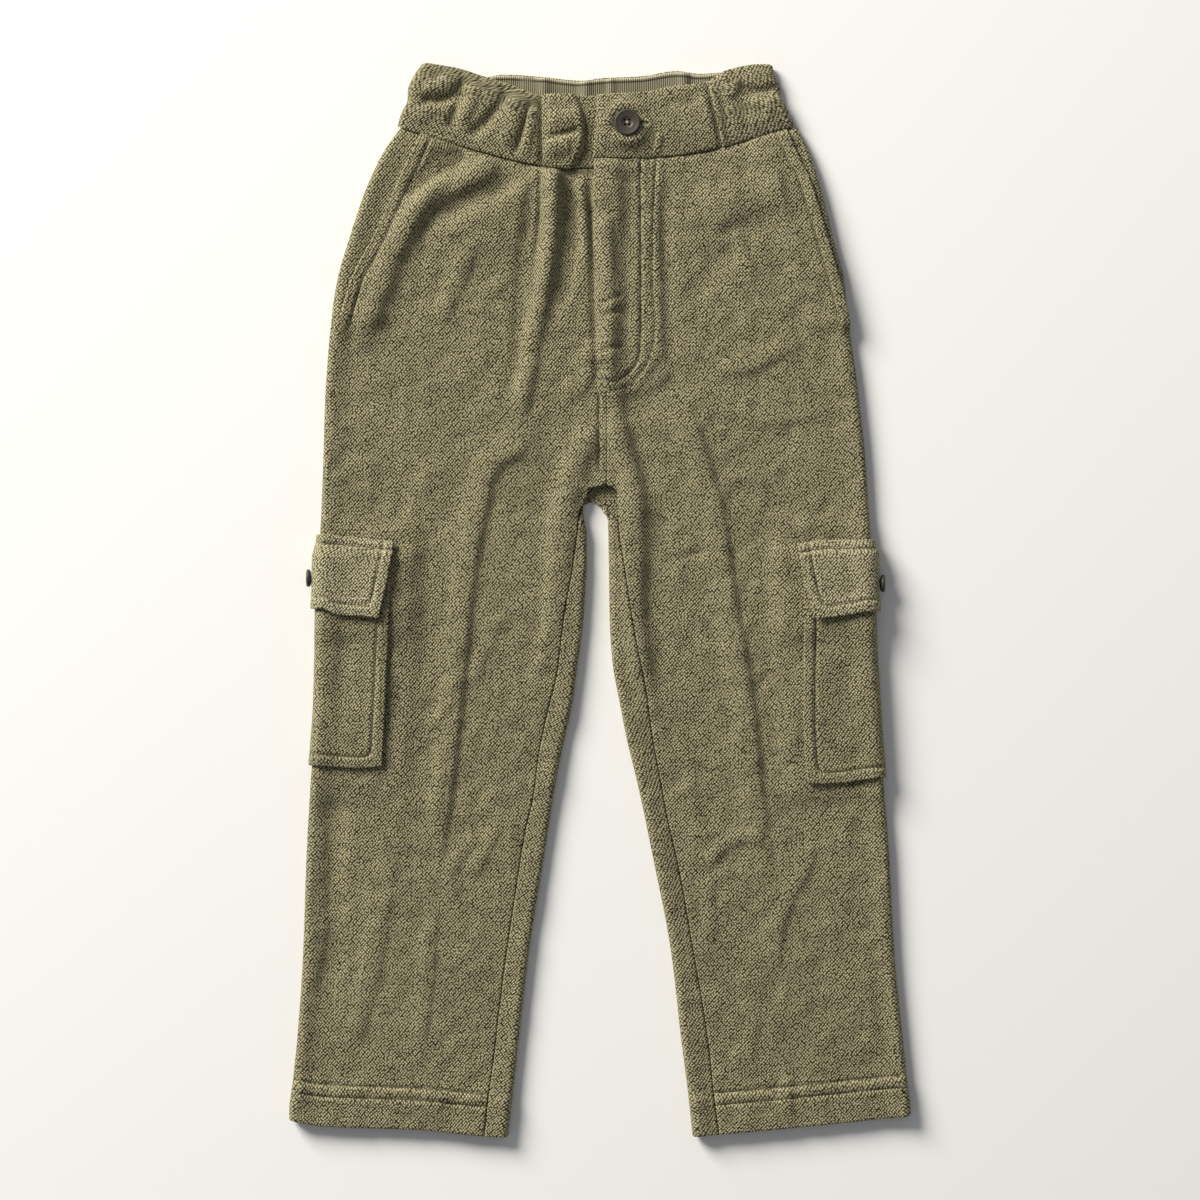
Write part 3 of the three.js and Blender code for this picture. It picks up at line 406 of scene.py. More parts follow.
def patches_under(leg, x, y):
    """How many patches lie under the back panel: the pocket, and the flap outside it."""
    across = ramp(PATCH_WIDTH + PLATEAU_RIM, PATCH_WIDTH, in_from_side(leg, x, y))
    pocket = ramp(*POCKET_RAMP, y) * ramp(POCKET_FOOT - PLATEAU_RIM, POCKET_FOOT, y)
    flap = ramp(*FLAP_TOP_RAMP, y) * ramp(FLAP_FOOT - PLATEAU_RIM, FLAP_FOOT, y)
    return across * (pocket + flap)


def back_height(leg, x, y):
    return cloth_at(leg, x, y) / 2 + LAYER * patches_under(leg, x, y)


def front_height(leg, x, y):
    """Middle of the front's cloth without its creases."""
    below = leg.waist_seam(x) - y
    side_roll = ramp(ROLL_WIDTH, 3, in_from_side(leg, x, y)) * ramp(268, 240, y)
    inner_roll = 0.7 * ramp(ROLL_WIDTH, 3, in_from_inner(leg, x, y)) * ramp(58, 30, y)
    height = 1.5 * cloth_at(leg, x, y) + AIR + LAYER * patches_under(leg, x, y)
    height = height + ROLL * np.maximum(side_roll, inner_roll)
    rise = WAIST_RISE * ramp(WAIST_RISE_LENGTH, 0, below)
    # the lap and the left end of the band hold the fronts up beside the fly
    held = 2 * np.exp(-(((x - 19) / 7) ** 2)) + 1.4 * np.exp(-(((x + 7) / 5) ** 2))
    rise = rise + held * ramp(14, 0, below)
    dip = SEAM_DIP * mix(1, 1.5, ramp(-60, -95, x))  # the seam is pulled deeper at the left
    return height + rise - dip * np.exp(-((below / 2.4) ** 2))


def crease_height(leg, x, y):
    """Creases and soft unevenness of the front. They die out at the seams, hem and patches."""
    clear = ramp(1, 9, in_from_side(leg, x, y)) * ramp(0, 4, leg.waist_seam(x) - y)
    clear = clear * (1 - np.clip(patches_under(leg, x, y), 0, 1) * 0.9)
    folds = relief(CREASES, x, y) * ramp(-4, 14, y - leg.hem(x))
    uneven = wobble(x, y, 22, 3) + 0.8 * wobble(x, y, 8, 7)
    height = folds * clear + uneven * ramp(0, 6, in_from_side(leg, x, y))
    return np.where(height < 0, AIR * np.tanh(height / AIR), height)


def make_leg(name, out):
    edges, patches = EDGES[name], PATCHES[name]
    leg = SimpleNamespace(name=name, out=out)
    leg.side, leg.inner = curve(edges["side"]), curve(edges["inner"])
    leg.front, leg.pocket = curve(edges["front"]), curve(edges["pocket"])
    leg.waist_seam, leg.band_top = curve(WAIST_SEAM[name]), curve(BAND_TOP[name])
    leg.back_seam, leg.hem = curve(BACK_SEAM), curve(HEM_EDGE[name])
    leg.pocket_edge, leg.pocket_bottom = curve(patches["pocket_edge"]), curve(patches["pocket_bottom"])
    leg.flap_edge = curve(patches["flap_edge"])
    leg.flap_top, leg.flap_bottom = curve(patches["flap_top"]), curve(patches["flap_bottom"])

    y = np.arange(-310, 276, 0.5)
    near = leg.side(y) - out * 3.2
    across = (front_height(leg, near, y) - back_height(leg, near, y)) / 2
    x = leg.side(y) - out * (across + cloth_at(leg, leg.side(y), y) / 2)
    high, low = front_height(leg, x, y), back_height(leg, x, y)
    table = {"x": x, "across": across, "up": (high - low) / 2, "middle": (high + low) / 2}
    leg.arc = lambda at: SimpleNamespace(**{key: np.interp(at, y, table[key]) for key in table})
    return leg


LEGS = {"left": make_leg("left", -1), "right": make_leg("right", 1)}
for leg in LEGS.values():
    print(leg.name, "leg at the knee:", round(float(abs(leg.side(-100) - leg.inner(-100))), 1), "mm wide")

# %% [markdown]
# Materials. Towelling gets its look from thousands of small cotton loops: their tips catch the
# light and the gaps between them are dark, so the cloth looks grainy even where it is flat. That
# light and shade is painted into the colour, besides the bump: a painted highlight on the loop tips
# and painted shade in the gaps. The loops stand in columns, called wales, which a Voronoi pattern
# with moderate randomness gives. Real loops are about 1 mm apart; they are drawn at 1.65 mm so that
# they show in the render. The pattern reads a UV map in metres that follows the cloth, so it turns
# with each fold and hem.

# %% A helper for nodes and one for colours
def linear(code):
    """An sRGB hex value as linear RGBA."""
    parts = [int(code[i : i + 2], 16) / 255 for i in (1, 3, 5)]
    return (*[c / 12.92 if c <= 0.04045 else ((c + 0.055) / 1.055) ** 2.4 for c in parts], 1)


def add_node(tree, kind, inputs=None, links=None, **settings):
    """A node with its settings, its sockets' values and the links that run into it."""
    node = tree.nodes.new(kind)
    for name, value in settings.items():
        setattr(node, name, value)
    for name, value in (inputs or {}).items():
        node.inputs[name].default_value = value
    for name, socket in (links or {}).items():
        tree.links.new(socket, node.inputs[name])
    return node


def new_material(name, **surface):
    """A material with an empty Principled surface and its tree."""
    material = bpy.data.materials.new(name)
    material.use_nodes = True
    tree = material.node_tree
    shader = tree.nodes["Principled BSDF"]
    for socket, value in surface.items():
        shader.inputs[socket.replace("_", " ")].default_value = value
    return material, tree, shader


def set_ramp(node, stops):
    """Puts a colour ramp's stops, given as (place, hex)."""
    elements = node.color_ramp.elements
    while len(elements) < len(stops):
        elements.new(0.5)
    for element, (place, code) in zip(elements, stops):
        element.position = place
        element.color = linear(code)


# %% Towelling
LOOP = (1.35 * MM, 1.5 * MM)  # across and along the wales
TUFT = 7 * MM  # patches in which the loops lean the same way
FADE = 55 * MM  # broad changes of shade from washing


def parted_pile(tree, place):
    """Short slanting lines where the pile has parted: the zero line of a stretched noise."""
    slant = add_node(tree, "ShaderNodeMapping", {"Rotation": (0, 0, 0.9), "Scale": (1, 2.4, 1)},
                     {"Vector": place})
    swirl = add_node(tree, "ShaderNodeTexNoise", {"Scale": 1 / (16 * MM), "Detail": 3.0},
                     {"Vector": slant.outputs[0]})
    level = add_node(tree, "ShaderNodeMath", {1: 0.5}, {0: swirl.outputs["Fac"]},
                     operation="SUBTRACT")
    away = add_node(tree, "ShaderNodeMath", None, {0: level.outputs[0]}, operation="ABSOLUTE")
    line = add_node(tree, "ShaderNodeMapRange",
                    {"From Min": 0.0, "From Max": 0.02, "To Min": 1.0, "To Max": 0.0},
                    {"Value": away.outputs[0]})
    patchy = add_node(tree, "ShaderNodeTexNoise", {"Scale": 1 / (11 * MM), "Detail": 1.0},
                      {"Vector": place})
    kept = add_node(tree, "ShaderNodeMapRange", {"From Min": 0.5, "From Max": 0.62},
                    {"Value": patchy.outputs["Fac"]})
    return add_node(tree, "ShaderNodeMath", None, {0: line.outputs[0], 1: kept.outputs[0]},
                    operation="MULTIPLY").outputs[0]


def towelling(name, painted_tip_light, body, painted_gap_shade):
    """Knitted cotton towelling, brushed by wear, with a soft matt sheen. Its colour paints a highlight on the loop
    tips and shade in the gaps.
    """
    material, tree, shader = new_material(name, Roughness=0.95, Sheen_Weight=0.25)
    shader.inputs["Sheen Roughness"].default_value = 0.5
    shader.inputs["Specular IOR Level"].default_value = 0.2
    shader.inputs["Sheen Tint"].default_value = linear("#d8d2b4")
    cloth = add_node(tree, "ShaderNodeUVMap", uv_map="cloth")
    drift = add_node(tree, "ShaderNodeTexNoise", {"Scale": 1 / TUFT, "Detail": 2.0},
                     {"Vector": cloth.outputs["UV"]})
    lean = add_node(tree, "ShaderNodeVectorMath", {1: (0.5, 0.5, 0.5)}, {0: drift.outputs["Color"]},
                    operation="SUBTRACT")
    lean = add_node(tree, "ShaderNodeVectorMath", {"Scale": 0.7 * LOOP[1]}, {0: lean.outputs[0]},
                    operation="SCALE")
    leaned = add_node(tree, "ShaderNodeVectorMath", None,
                      {0: cloth.outputs["UV"], 1: lean.outputs[0]}, operation="ADD")
    wales = add_node(tree, "ShaderNodeMapping",
                     {"Rotation": (0, 0, math.pi / 4), "Scale": (1 / LOOP[0], 1 / LOOP[1], 1)},
                     {"Vector": leaned.outputs[0]})
    loops = add_node(tree, "ShaderNodeTexVoronoi", {"Scale": 1.0, "Randomness": 0.4},
                     {"Vector": wales.outputs[0]}, voronoi_dimensions="2D", feature="F1")
    fibre = add_node(tree, "ShaderNodeTexNoise", {"Scale": 1.3 / LOOP[0], "Detail": 2.0},
                     {"Vector": cloth.outputs["UV"]})
    frayed = add_node(tree, "ShaderNodeMath", {1: 0.12},
                      {0: fibre.outputs["Fac"], 2: loops.outputs["Distance"]},
                      operation="MULTIPLY_ADD")
    parted = parted_pile(tree, leaned.outputs[0])
    depth = add_node(tree, "ShaderNodeMath", {1: 0.18}, {0: parted, 2: frayed.outputs[0]},
                     operation="MULTIPLY_ADD")
    # the colour ramp paints a highlight on the loop tips and shade in the gaps and parted lines
    shade = add_node(tree, "ShaderNodeValToRGB", None, {"Fac": depth.outputs[0]})
    set_ramp(shade, [(0.14, painted_tip_light), (0.4, body), (0.66, painted_gap_shade)])
    tufts = add_node(tree, "ShaderNodeMapRange",
                     {"From Min": 0.3, "From Max": 0.7, "To Min": 0.88, "To Max": 1.1},
                     {"Value": drift.outputs["Fac"]})
    wash = add_node(tree, "ShaderNodeTexNoise", {"Scale": 1 / FADE, "Detail": 3.0},
                    {"Vector": cloth.outputs["UV"]})
    washed = add_node(tree, "ShaderNodeMapRange",
                      {"From Min": 0.3, "From Max": 0.7, "To Min": 0.94, "To Max": 1.06},
                      {"Value": wash.outputs["Fac"]})
    tone = add_node(tree, "ShaderNodeMath", None, {0: tufts.outputs[0], 1: washed.outputs[0]},
                    operation="MULTIPLY")
    colour = add_node(tree, "ShaderNodeVectorMath", None,
                      {0: shade.outputs["Color"], "Scale": tone.outputs[0]}, operation="SCALE")
    tree.links.new(colour.outputs[0], shader.inputs["Base Color"])
    bump = add_node(tree, "ShaderNodeBump", {"Strength": 1.0, "Distance": 0.9 * MM},
                    {"Height": depth.outputs[0]}, invert=True)
    tree.links.new(bump.outputs[0], shader.inputs["Normal"])
    return material


PILE = towelling("cotton towelling, olive", "#cbc4a0", "#918b6b", "#2a2717")
# The flaps get a paler copy of the same towelling: painted light, for the light that their tilted faces catch from
# the window.
FLAP_PILE_PAINTED_LIGHTER = towelling("cotton towelling, nap turned up", "#dbd4b1", "#a19b7b", "#3e3a26")
print("Loops drawn", round(LOOP[0] / MM, 2), "mm apart")

# %% [markdown]
# The inside of the back waistband is faced with a fine rib knit, paler than the towelling. Its ribs
# are about 1.2 mm apart and run up the band. Its top edge is a cream selvedge over a dark seam,
# which two attributes of the mesh mark. The sewing thread is a shade darker than the cloth.

# %% Rib knit, thread and button
RIB = 1.25 * MM


def rib_knit():
    """Fine vertical rib: rounded ribs with shaded furrows."""
    material, tree, shader = new_material("cotton rib knit", Roughness=0.9, Sheen_Weight=0.2)
    shader.inputs["Specular IOR Level"].default_value = 0.2
    cloth = add_node(tree, "ShaderNodeUVMap", uv_map="cloth")
    drift = add_node(tree, "ShaderNodeTexNoise", {"Scale": 1 / (4 * MM), "Detail": 2.0},
                     {"Vector": cloth.outputs["UV"]})
    ribs = add_node(tree, "ShaderNodeTexWave",
                    {"Scale": 1 / RIB / 3.183, "Distortion": 0.6, "Detail": 1.0},
                    {"Vector": cloth.outputs["UV"]}, wave_type="BANDS", bands_direction="X")
    height = add_node(tree, "ShaderNodeMath", {1: 0.35},
                      {0: drift.outputs["Fac"], 2: ribs.outputs["Fac"]}, operation="MULTIPLY_ADD")
    shade = add_node(tree, "ShaderNodeValToRGB", None, {"Fac": height.outputs[0]})
    set_ramp(shade, [(0.1, "#4f4b39"), (0.6, "#78735c"), (1.0, "#9c967d")])
    edge = add_node(tree, "ShaderNodeAttribute", attribute_name="selvedge")
    cream = add_node(tree, "ShaderNodeMix", {"B": linear("#b5ae90")},
                     {"Factor": edge.outputs["Fac"], "A": shade.outputs["Color"]}, data_type="RGBA")
    seam = add_node(tree, "ShaderNodeAttribute", attribute_name="seam")
    dark = add_node(tree, "ShaderNodeMix", {"B": linear("#2b281b")},
                    {"Factor": seam.outputs["Fac"], "A": cream.outputs["Result"]}, data_type="RGBA")
    tree.links.new(dark.outputs["Result"], shader.inputs["Base Color"])
    bump = add_node(tree, "ShaderNodeBump", {"Strength": 0.8, "Distance": 0.4 * MM},
                    {"Height": height.outputs[0]})
    tree.links.new(bump.outputs[0], shader.inputs["Normal"])
    return material


def spun_thread(name, dark, light):
    """Polyester sewing thread: a tight twist with a slight gleam."""
    material, tree, shader = new_material(name, Roughness=0.7)
    place = add_node(tree, "ShaderNodeTexCoord")
    twist = add_node(tree, "ShaderNodeTexNoise", {"Scale": 1 / (0.6 * MM), "Detail": 1.0},
                     {"Vector": place.outputs["Object"]})
    shade = add_node(tree, "ShaderNodeValToRGB", None, {"Fac": twist.outputs["Fac"]})
    set_ramp(shade, [(0.3, dark), (0.7, light)])
    tree.links.new(shade.outputs["Color"], shader.inputs["Base Color"])
    return material


def moulded_button():
    """Moulded polyester button: dark olive, satin, with faint clouding."""
    material, tree, shader = new_material("moulded polyester button", Roughness=0.5, IOR=1.5)
    place = add_node(tree, "ShaderNodeTexCoord")
    cloud = add_node(tree, "ShaderNodeTexNoise", {"Scale": 1 / (3 * MM), "Detail": 4.0},
                     {"Vector": place.outputs["Object"]})
    shade = add_node(tree, "ShaderNodeValToRGB", None, {"Fac": cloud.outputs["Fac"]})
    set_ramp(shade, [(0.3, "#35322a"), (0.7, "#403c32")])
    tree.links.new(shade.outputs["Color"], shader.inputs["Base Color"])
    grain = add_node(tree, "ShaderNodeTexNoise", {"Scale": 1 / (0.35 * MM), "Detail": 2.0},
                     {"Vector": place.outputs["Object"]})
    bump = add_node(tree, "ShaderNodeBump", {"Strength": 0.15, "Distance": 0.05 * MM},
                    {"Height": grain.outputs["Fac"]})
    tree.links.new(bump.outputs[0], shader.inputs["Normal"])
    return material


RIB_KNIT, BUTTON = rib_knit(), moulded_button()
THREAD = spun_thread("spun thread, dark olive", "#262312", "#4d4830")
PALE_THREAD = spun_thread("spun thread, pale olive", "#a39c7e", "#d3ccb0")

# %% [markdown]
# One function makes every piece of cloth. It starts from Blender's grid operator, reads each
# point's place in the grid, and moves it to the place that the piece's own function gives. The UV
# map is the distance along the cloth, so the loops keep their size. A Solidify modifier gives the
# wall. Its vertex group thins the wall to a half round at the rim, as a turned edge is.

# %% Make a piece of cloth
RIM = [0, 0.2, 0.5, 0.9, 1.5]  # stations that round an edge
PIECES = {}


def stations(length, step):
    """Distances from 0 to length, closer together at both ends."""
    inner = np.linspace(RIM[-1], length - RIM[-1], max(2, round((length - 3) / step)))
    return np.concatenate([RIM[:-1], inner, [length - d for d in RIM[-2::-1]]])


def run_length(points, axis):
    """Distance along the cloth from its first row or column."""
    steps = np.linalg.norm(np.diff(points, axis=axis), axis=2)
    start = np.zeros_like(np.take(steps, [0], axis=axis))
    return np.concatenate([start, np.cumsum(steps, axis=axis)], axis=axis)


def around(points, axis):
    """Distance along the cloth round the body, equal to x in the middle of the piece."""
    run = run_length(points, axis)
    middle = points.shape[axis] // 2
    x = points[:, :, 0]
    here, next_one = np.take(x, [middle], axis=axis), np.take(x, [middle + 1], axis=axis)
    return here + np.sign(next_one - here) * (run - np.take(run, [middle], axis=axis))


def cloth_piece(name, points, thickness, material, nodes, marks=None, round_axis=1):
    """A wall of cloth round a grid of points, in place of its CAD nodes."""
    rows, columns = points.shape[:2]
    bm = bmesh.new()
    bmesh.ops.create_grid(bm, x_segments=columns - 1, y_segments=rows - 1, size=1)
    mesh = bpy.data.meshes.new(name)
    bm.to_mesh(mesh)
    bm.free()
    flat = np.empty(len(mesh.vertices) * 3)
    mesh.vertices.foreach_get("co", flat)
    u, v = ((flat.reshape(-1, 3)[:, :2] + 1) / 2).T
    row, column = np.rint(v * (rows - 1)).astype(int), np.rint(u * (columns - 1)).astype(int)
    mesh.vertices.foreach_set("co", (points[row, column] * MM).ravel())

    across, down = run_length(points, 1), run_length(points, 0)
    uv = np.stack([around(points, round_axis), points[:, :, 1]], axis=2) * MM
    corner = np.empty(len(mesh.loops), int)
    mesh.loops.foreach_get("vertex_index", corner)
    layer = mesh.uv_layers.get("cloth") or mesh.uv_layers.new(name="cloth")
    layer.data.foreach_set("uv", uv[row, column][corner].astype(np.float32).ravel())

    thickness = np.broadcast_to(thickness, (rows, columns))
    rim = np.minimum.reduce([across, across[:, [-1]] - across, down, down[[-1]] - down])
    round_rim = np.sqrt(1 - (1 - np.clip(rim / (thickness / 2), 0.005, 1)) ** 2)
    weight = np.clip(np.rint(round_rim * thickness / thickness.max() * 40) / 40, 0.05, 1)
    obj = bpy.data.objects.new(name, mesh)
    bpy.context.collection.objects.link(obj)
    group = obj.vertex_groups.new(name="wall")
    at_vertex = weight[row, column]
    for value in np.unique(at_vertex):
        group.add(np.flatnonzero(at_vertex == value).tolist(), float(value), "REPLACE")
    for mark, values in (marks or {}).items():
        attribute = mesh.attributes.new(mark, "FLOAT", "POINT")
        attribute.data.foreach_set("value", values[row, column].astype(np.float32))
    wall = obj.modifiers.new("wall", "SOLIDIFY")
    wall.thickness, wall.offset = float(thickness.max()) * MM, 0
    wall.vertex_group, wall.use_rim = "wall", True

    middle = mesh.polygons[(rows // 2) * (columns - 1) + columns // 8]
    mesh.update()
    if middle.normal.z * (1 if points[rows // 2, columns // 8, 2] > 2 else -1) < 0:
        mesh.flip_normals()
    mesh.polygons.foreach_set("use_smooth", [True] * len(mesh.polygons))
    mesh.materials.append(material)
    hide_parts(*nodes)
    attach(obj, "root")
    PIECES[name] = SimpleNamespace(obj=obj, area=surface(points))
    print(f"{name}: {rows} x {columns} points, {PIECES[name].area / 100:.0f} square cm of cloth")
    return obj


def surface(points):
    """Area of a grid of points, in square millimetres."""
    along, over = np.diff(points, axis=0)[:, :-1], np.diff(points, axis=1)[:-1]
    return float(np.linalg.norm(np.cross(along, over), axis=2).sum())


# %% [markdown]
# A panel is drawn row by row. The rows follow the waist seam at the top and the hem at the bottom
# and are level between them. A point's x depends on its height and its height on its x, so a few
# passes settle the two.

# %% Rows that follow the waist and the hem
def row_height(row, x, top, top_curve, bottom_curve):
    up = (top_curve(x) - WAIST_GAP / 2 - top) * ramp(top - TOP_REACH, top, row)
    down = (bottom_curve(x) - BOTTOM) * ramp(BOTTOM + BOTTOM_REACH, BOTTOM, row)
    return row + up + down


def settle(row, x_at, height_at):
    y = row
    for _ in range(4):
        y = height_at(row, x_at(y))
    return x_at(y), y


# %% [markdown]
# The front panel. Above, its outer edge is the slanting pocket opening, which lies on the hip
# panel. Below, it turns round the side edge to the side seam. The right front also carries the fly:
# its cut-on extension is turned under and held by two curved rows of stitches, the J. The stitched
# lines press narrow grooves into the pile. They are kept as paths, because the thread follows them
# later.

# %% Front panels
FLY_ROWS = {
    "inner": [(23, 251), (23.2, 215), (23.2, 175), (23, 150), (21.5, 137), (15.5, 129.5),
              (9, 125.6), (1.5, 125.2)],
    "outer": [(32, 251), (30, 213), (30, 180), (31, 160), (30, 146), (27, 136), (21.5, 128),
              (15, 122), (4, 119.8)],
}
CROTCH_ROW = [(-0.8, 118), (-1, 95), (-1, 74)]
FLY_STEP = [(37, 252), (35, 213), (35.5, 180), (36.5, 160), (35.5, 144), (31, 132), (24, 123)]
POCKET_STITCH = 6.4  # in from the pocket opening, square to it
HEM_STITCHES = (17.2, 23.8)


def front_lift(leg, x, y):
    """How far the front is lifted where it lies over the hip panel and over the fly underlap."""
    over_hip = ramp(RAISED + RAISED_RIM, RAISED, (leg.pocket(y) - x) * leg.out) * ramp(150, 161, y)
    if leg.name == "left":
        return LAYER * over_hip
    over_fly = ramp(FLY_UNDERLAP + 10, FLY_UNDERLAP + 1.5, x) * ramp(98, 116, y)
    return np.maximum(LAYER * over_hip, FLY_LIFT * over_fly)


def pocket_slant(leg, y):
    """Turns a level distance from the pocket opening into one square to it."""
    return 1 / np.hypot(1, (leg.pocket(y + 2) - leg.pocket(y - 2)) / 4)


def sewn_front(leg, x, y):
    """Grooves of the stitching on the front, and the flat steps of the layers under it."""
    square = (leg.pocket(y) - x) * leg.out * pocket_slant(leg, y)
    height = groove(square - POCKET_STITCH) * ramp(152, 162, y)
    height = height + 0.35 * ramp(POCKET_STITCH, POCKET_STITCH - 1.5, square) * ramp(152, 162, y)
    above = y - leg.hem(x)
    for row in HEM_STITCHES:
        height = height + groove(above - row)
    height = height + groove(from_path(smooth_path(CROTCH_ROW), x, y)[0], 0.9) * ramp(70, 76, y) * ramp(122, 116, y)
    if leg.name == "right":
        for row, path in FLY_ROWS.items():
            away, _ = from_path(smooth_path(path), x, y)
            height = height + groove(away, 1.2 if row == "inner" else 0.8)
        away, _ = from_path(smooth_path(FLY_STEP), x, y)
        height = height + 0.75 * ramp(2.5, -2.5, away) * ramp(60, 20, np.abs(away)) * ramp(112, 122, y)
    return height


FRONT_ROWS = TOP_FRONT - np.concatenate([
    RIM[:-1], np.linspace(1.5, 536, 336), np.linspace(537.1, 564.5, 26),
    [TOP_FRONT - BOTTOM - d for d in RIM[-2::-1]],
])


def front_panel(leg):
    closed = lambda y: ramp(159, 149, y)  # 1 where the panel reaches the side seam
    turn = np.linspace(math.pi / 2, 0, 10)[:-1]
    inward = np.linspace(0, 60, 47)
    share = np.arange(1, 50) / 50
    inner = np.concatenate([np.linspace(22, 1.5, 20), RIM[-2::-1]])
    columns = len(turn) + len(inward) + len(share) + len(inner)

    def x_at(y):
        arc = leg.arc(y[:, :1])
        reach = arc.across + CLOTH / 2
        open_x = leg.pocket(y[:, :1]) - leg.out * (1 - turn / (math.pi / 2)) * reach
        turned = mix(open_x, arc.x + leg.out * arc.across * np.sin(turn), closed(y[:, :1]))
        start = mix(leg.pocket(y[:, :1]) - leg.out * reach, arc.x, closed(y[:, :1]))
        side = start - leg.out * inward
        edge = leg.front(y[:, :1]) + leg.out * inner
        between = mix(side[:, -1:], edge[:, :1], share)
        return np.concatenate([turned, side, between, edge], axis=1)

    def x_of(y):
        """The same for a grid in which each column has its own height."""
        return np.stack([x_column(y[:, j], j) for j in range(columns)], axis=1)

    def x_column(y, j):
        return x_at(y[:, None])[:, j]

    rows = np.repeat(FRONT_ROWS[:, None], columns, axis=1)
    height_at = lambda r, x: row_height(r, x, TOP_FRONT, leg.waist_seam, leg.hem)
    x, y = settle(rows, x_of, height_at)
    flat_z = front_height(leg, x, y) + front_lift(leg, x, y) + crease_height(leg, x, y)
    flat_z = flat_z + sewn_front(leg, x, y)
    arc = leg.arc(y[:, : len(turn)])
    round_z = arc.middle + np.maximum(arc.up * np.cos(turn), GAP / 2)
    z = flat_z.copy()
    z[:, : len(turn)] = mix(flat_z[:, : len(turn)], round_z, closed(y[:, : len(turn)]))
    points = np.stack([x, y, z], axis=2)
    return cloth_piece(f"front_{leg.name}", points, cloth_at(leg, x, y), PILE,
                       [f"front_panel_{leg.name}"])


for leg in LEGS.values():
    front_panel(leg)

# %% [markdown]
# The hip panel is the small piece that shows beside the slanting pocket opening. It runs under the
# front panel on one side and round to the side seam on the other.

# %% Hip panels
def hip_panel(leg):
    share = np.linspace(0, 1, 26)
    turn = np.linspace(0, math.pi / 2, 10)[1:]
    columns = len(share) + len(turn)
    drop = stations(TOP_FRONT - HIP_END + 11, 1.3)
    rows = np.repeat((TOP_FRONT - drop)[:, None], columns, axis=1)

    def x_of(y):
        arc = leg.arc(y)
        hidden = leg.pocket(y) - leg.out * HIP_TUCK
        flat = mix(hidden[:, : len(share)], arc.x[:, : len(share)], share)
        reach = arc.across - 1.4 * ramp(164, 158, y)
        turned = arc.x[:, len(share):] + leg.out * reach[:, len(share):] * np.sin(turn)
        return np.concatenate([flat, turned], axis=1)

    height_at = lambda r, x: row_height(r, x, TOP_FRONT, leg.waist_seam, leg.hem)
    x, y = settle(rows, x_of, height_at)
    z = front_height(leg, x, y)
    arc = leg.arc(y[:, len(share):])
    z[:, len(share):] = arc.middle + np.maximum(arc.up * np.cos(turn), GAP / 2)
    points = np.stack([x, y, z], axis=2)
    return cloth_piece(f"hip_{leg.name}", points, CLOTH, PILE, [f"hip_panel_{leg.name}"])


for leg in LEGS.values():
    hip_panel(leg)

# %% [markdown]
# The back panel lies on the ground. At the side it turns up to the side seam. Below the crotch it
# turns up and over the inner edge of the leg, so a strip of it shows from in front, up to the
# inseam. Its creases are troughs seen from below, kept shallow because the cloth lies on them.

# %% Back panels
BACK_CREASES = [
    ([(-30, 232), (-44, 190), (-62, 150)], 0.8, 7, 6),
    ([(-92, 226), (-84, 180), (-88, 130)], 0.7, 6, 7),
    ([(-24, 96), (-48, 66), (-70, 44)], 0.9, 5, 6),
    ([(-36, 112), (-64, 96), (-96, 92)], 0.6, 5, 5),
    ([(-84, 20), (-88, -60), (-92, -130)], 0.8, 8, 5),
    ([(-62, -118), (-84, -134), (-112, -140)], 0.8, 5, 5),
    ([(-100, -168), (-104, -220), (-112, -272)], 0.7, 6, 5),
    ([(34, 230), (46, 184), (66, 146)], 0.8, 7, 6),
    ([(90, 228), (84, 176), (90, 128)], 0.7, 7, 6),
    ([(24, 94), (46, 70), (72, 42)], 0.9, 6, 5),
    ([(98, 90), (66, 98), (34, 108)], 0.6, 5, 5),
    ([(84, 22), (88, -58), (90, -128)], 0.8, 8, 5),
    ([(112, -142), (86, -130), (60, -114)], 0.8, 5, 5),
    ([(98, -166), (106, -222), (110, -270)], 0.7, 6, 5),
]
ARC_COLUMNS, STRIP_COLUMNS = 16, 14


def wrapped(leg, y, step):
    """Points of the inner edge: step 0 is on the back, 1 is the top of the arc, 2 the inseam."""
    edge = leg.inner(y)
    thick = cloth_at(leg, edge, y)
    near = edge + leg.out * 3
    radius = (front_height(leg, near, y) - back_height(leg, near, y)) / 2
    start = edge + leg.out * (radius + thick / 2)
    low = back_height(leg, start, y)
    wrap = ramp(*WRAP_RAMP, y)
    strip = np.maximum((leg.front(y) - start) * leg.out - GAP, 0.6)
    arc = math.pi * radius
    on_arc, on_strip = np.minimum(step, 1), np.maximum(step - 1, 0)
    flat = (radius + thick / 2) * step / 2
    length = mix(flat, arc * on_arc + strip * on_strip, wrap)
    turned = np.minimum(length, arc * wrap) / radius
    rest = length - turned * radius
    x = start - leg.out * (radius * np.sin(turned) + rest * np.cos(turned))
    z = low + radius * (1 - np.cos(turned)) + rest * np.sin(turned)
    follow = np.where(on_strip > 0, ramp(0.85, 1, wrap), 0)
    crease = crease_height(leg, x, y) * ramp(0.3, 1.2, step) * ramp(0.85, 1, wrap)
    return x, z + follow * (front_height(leg, x, y) - low - 2 * radius) + crease


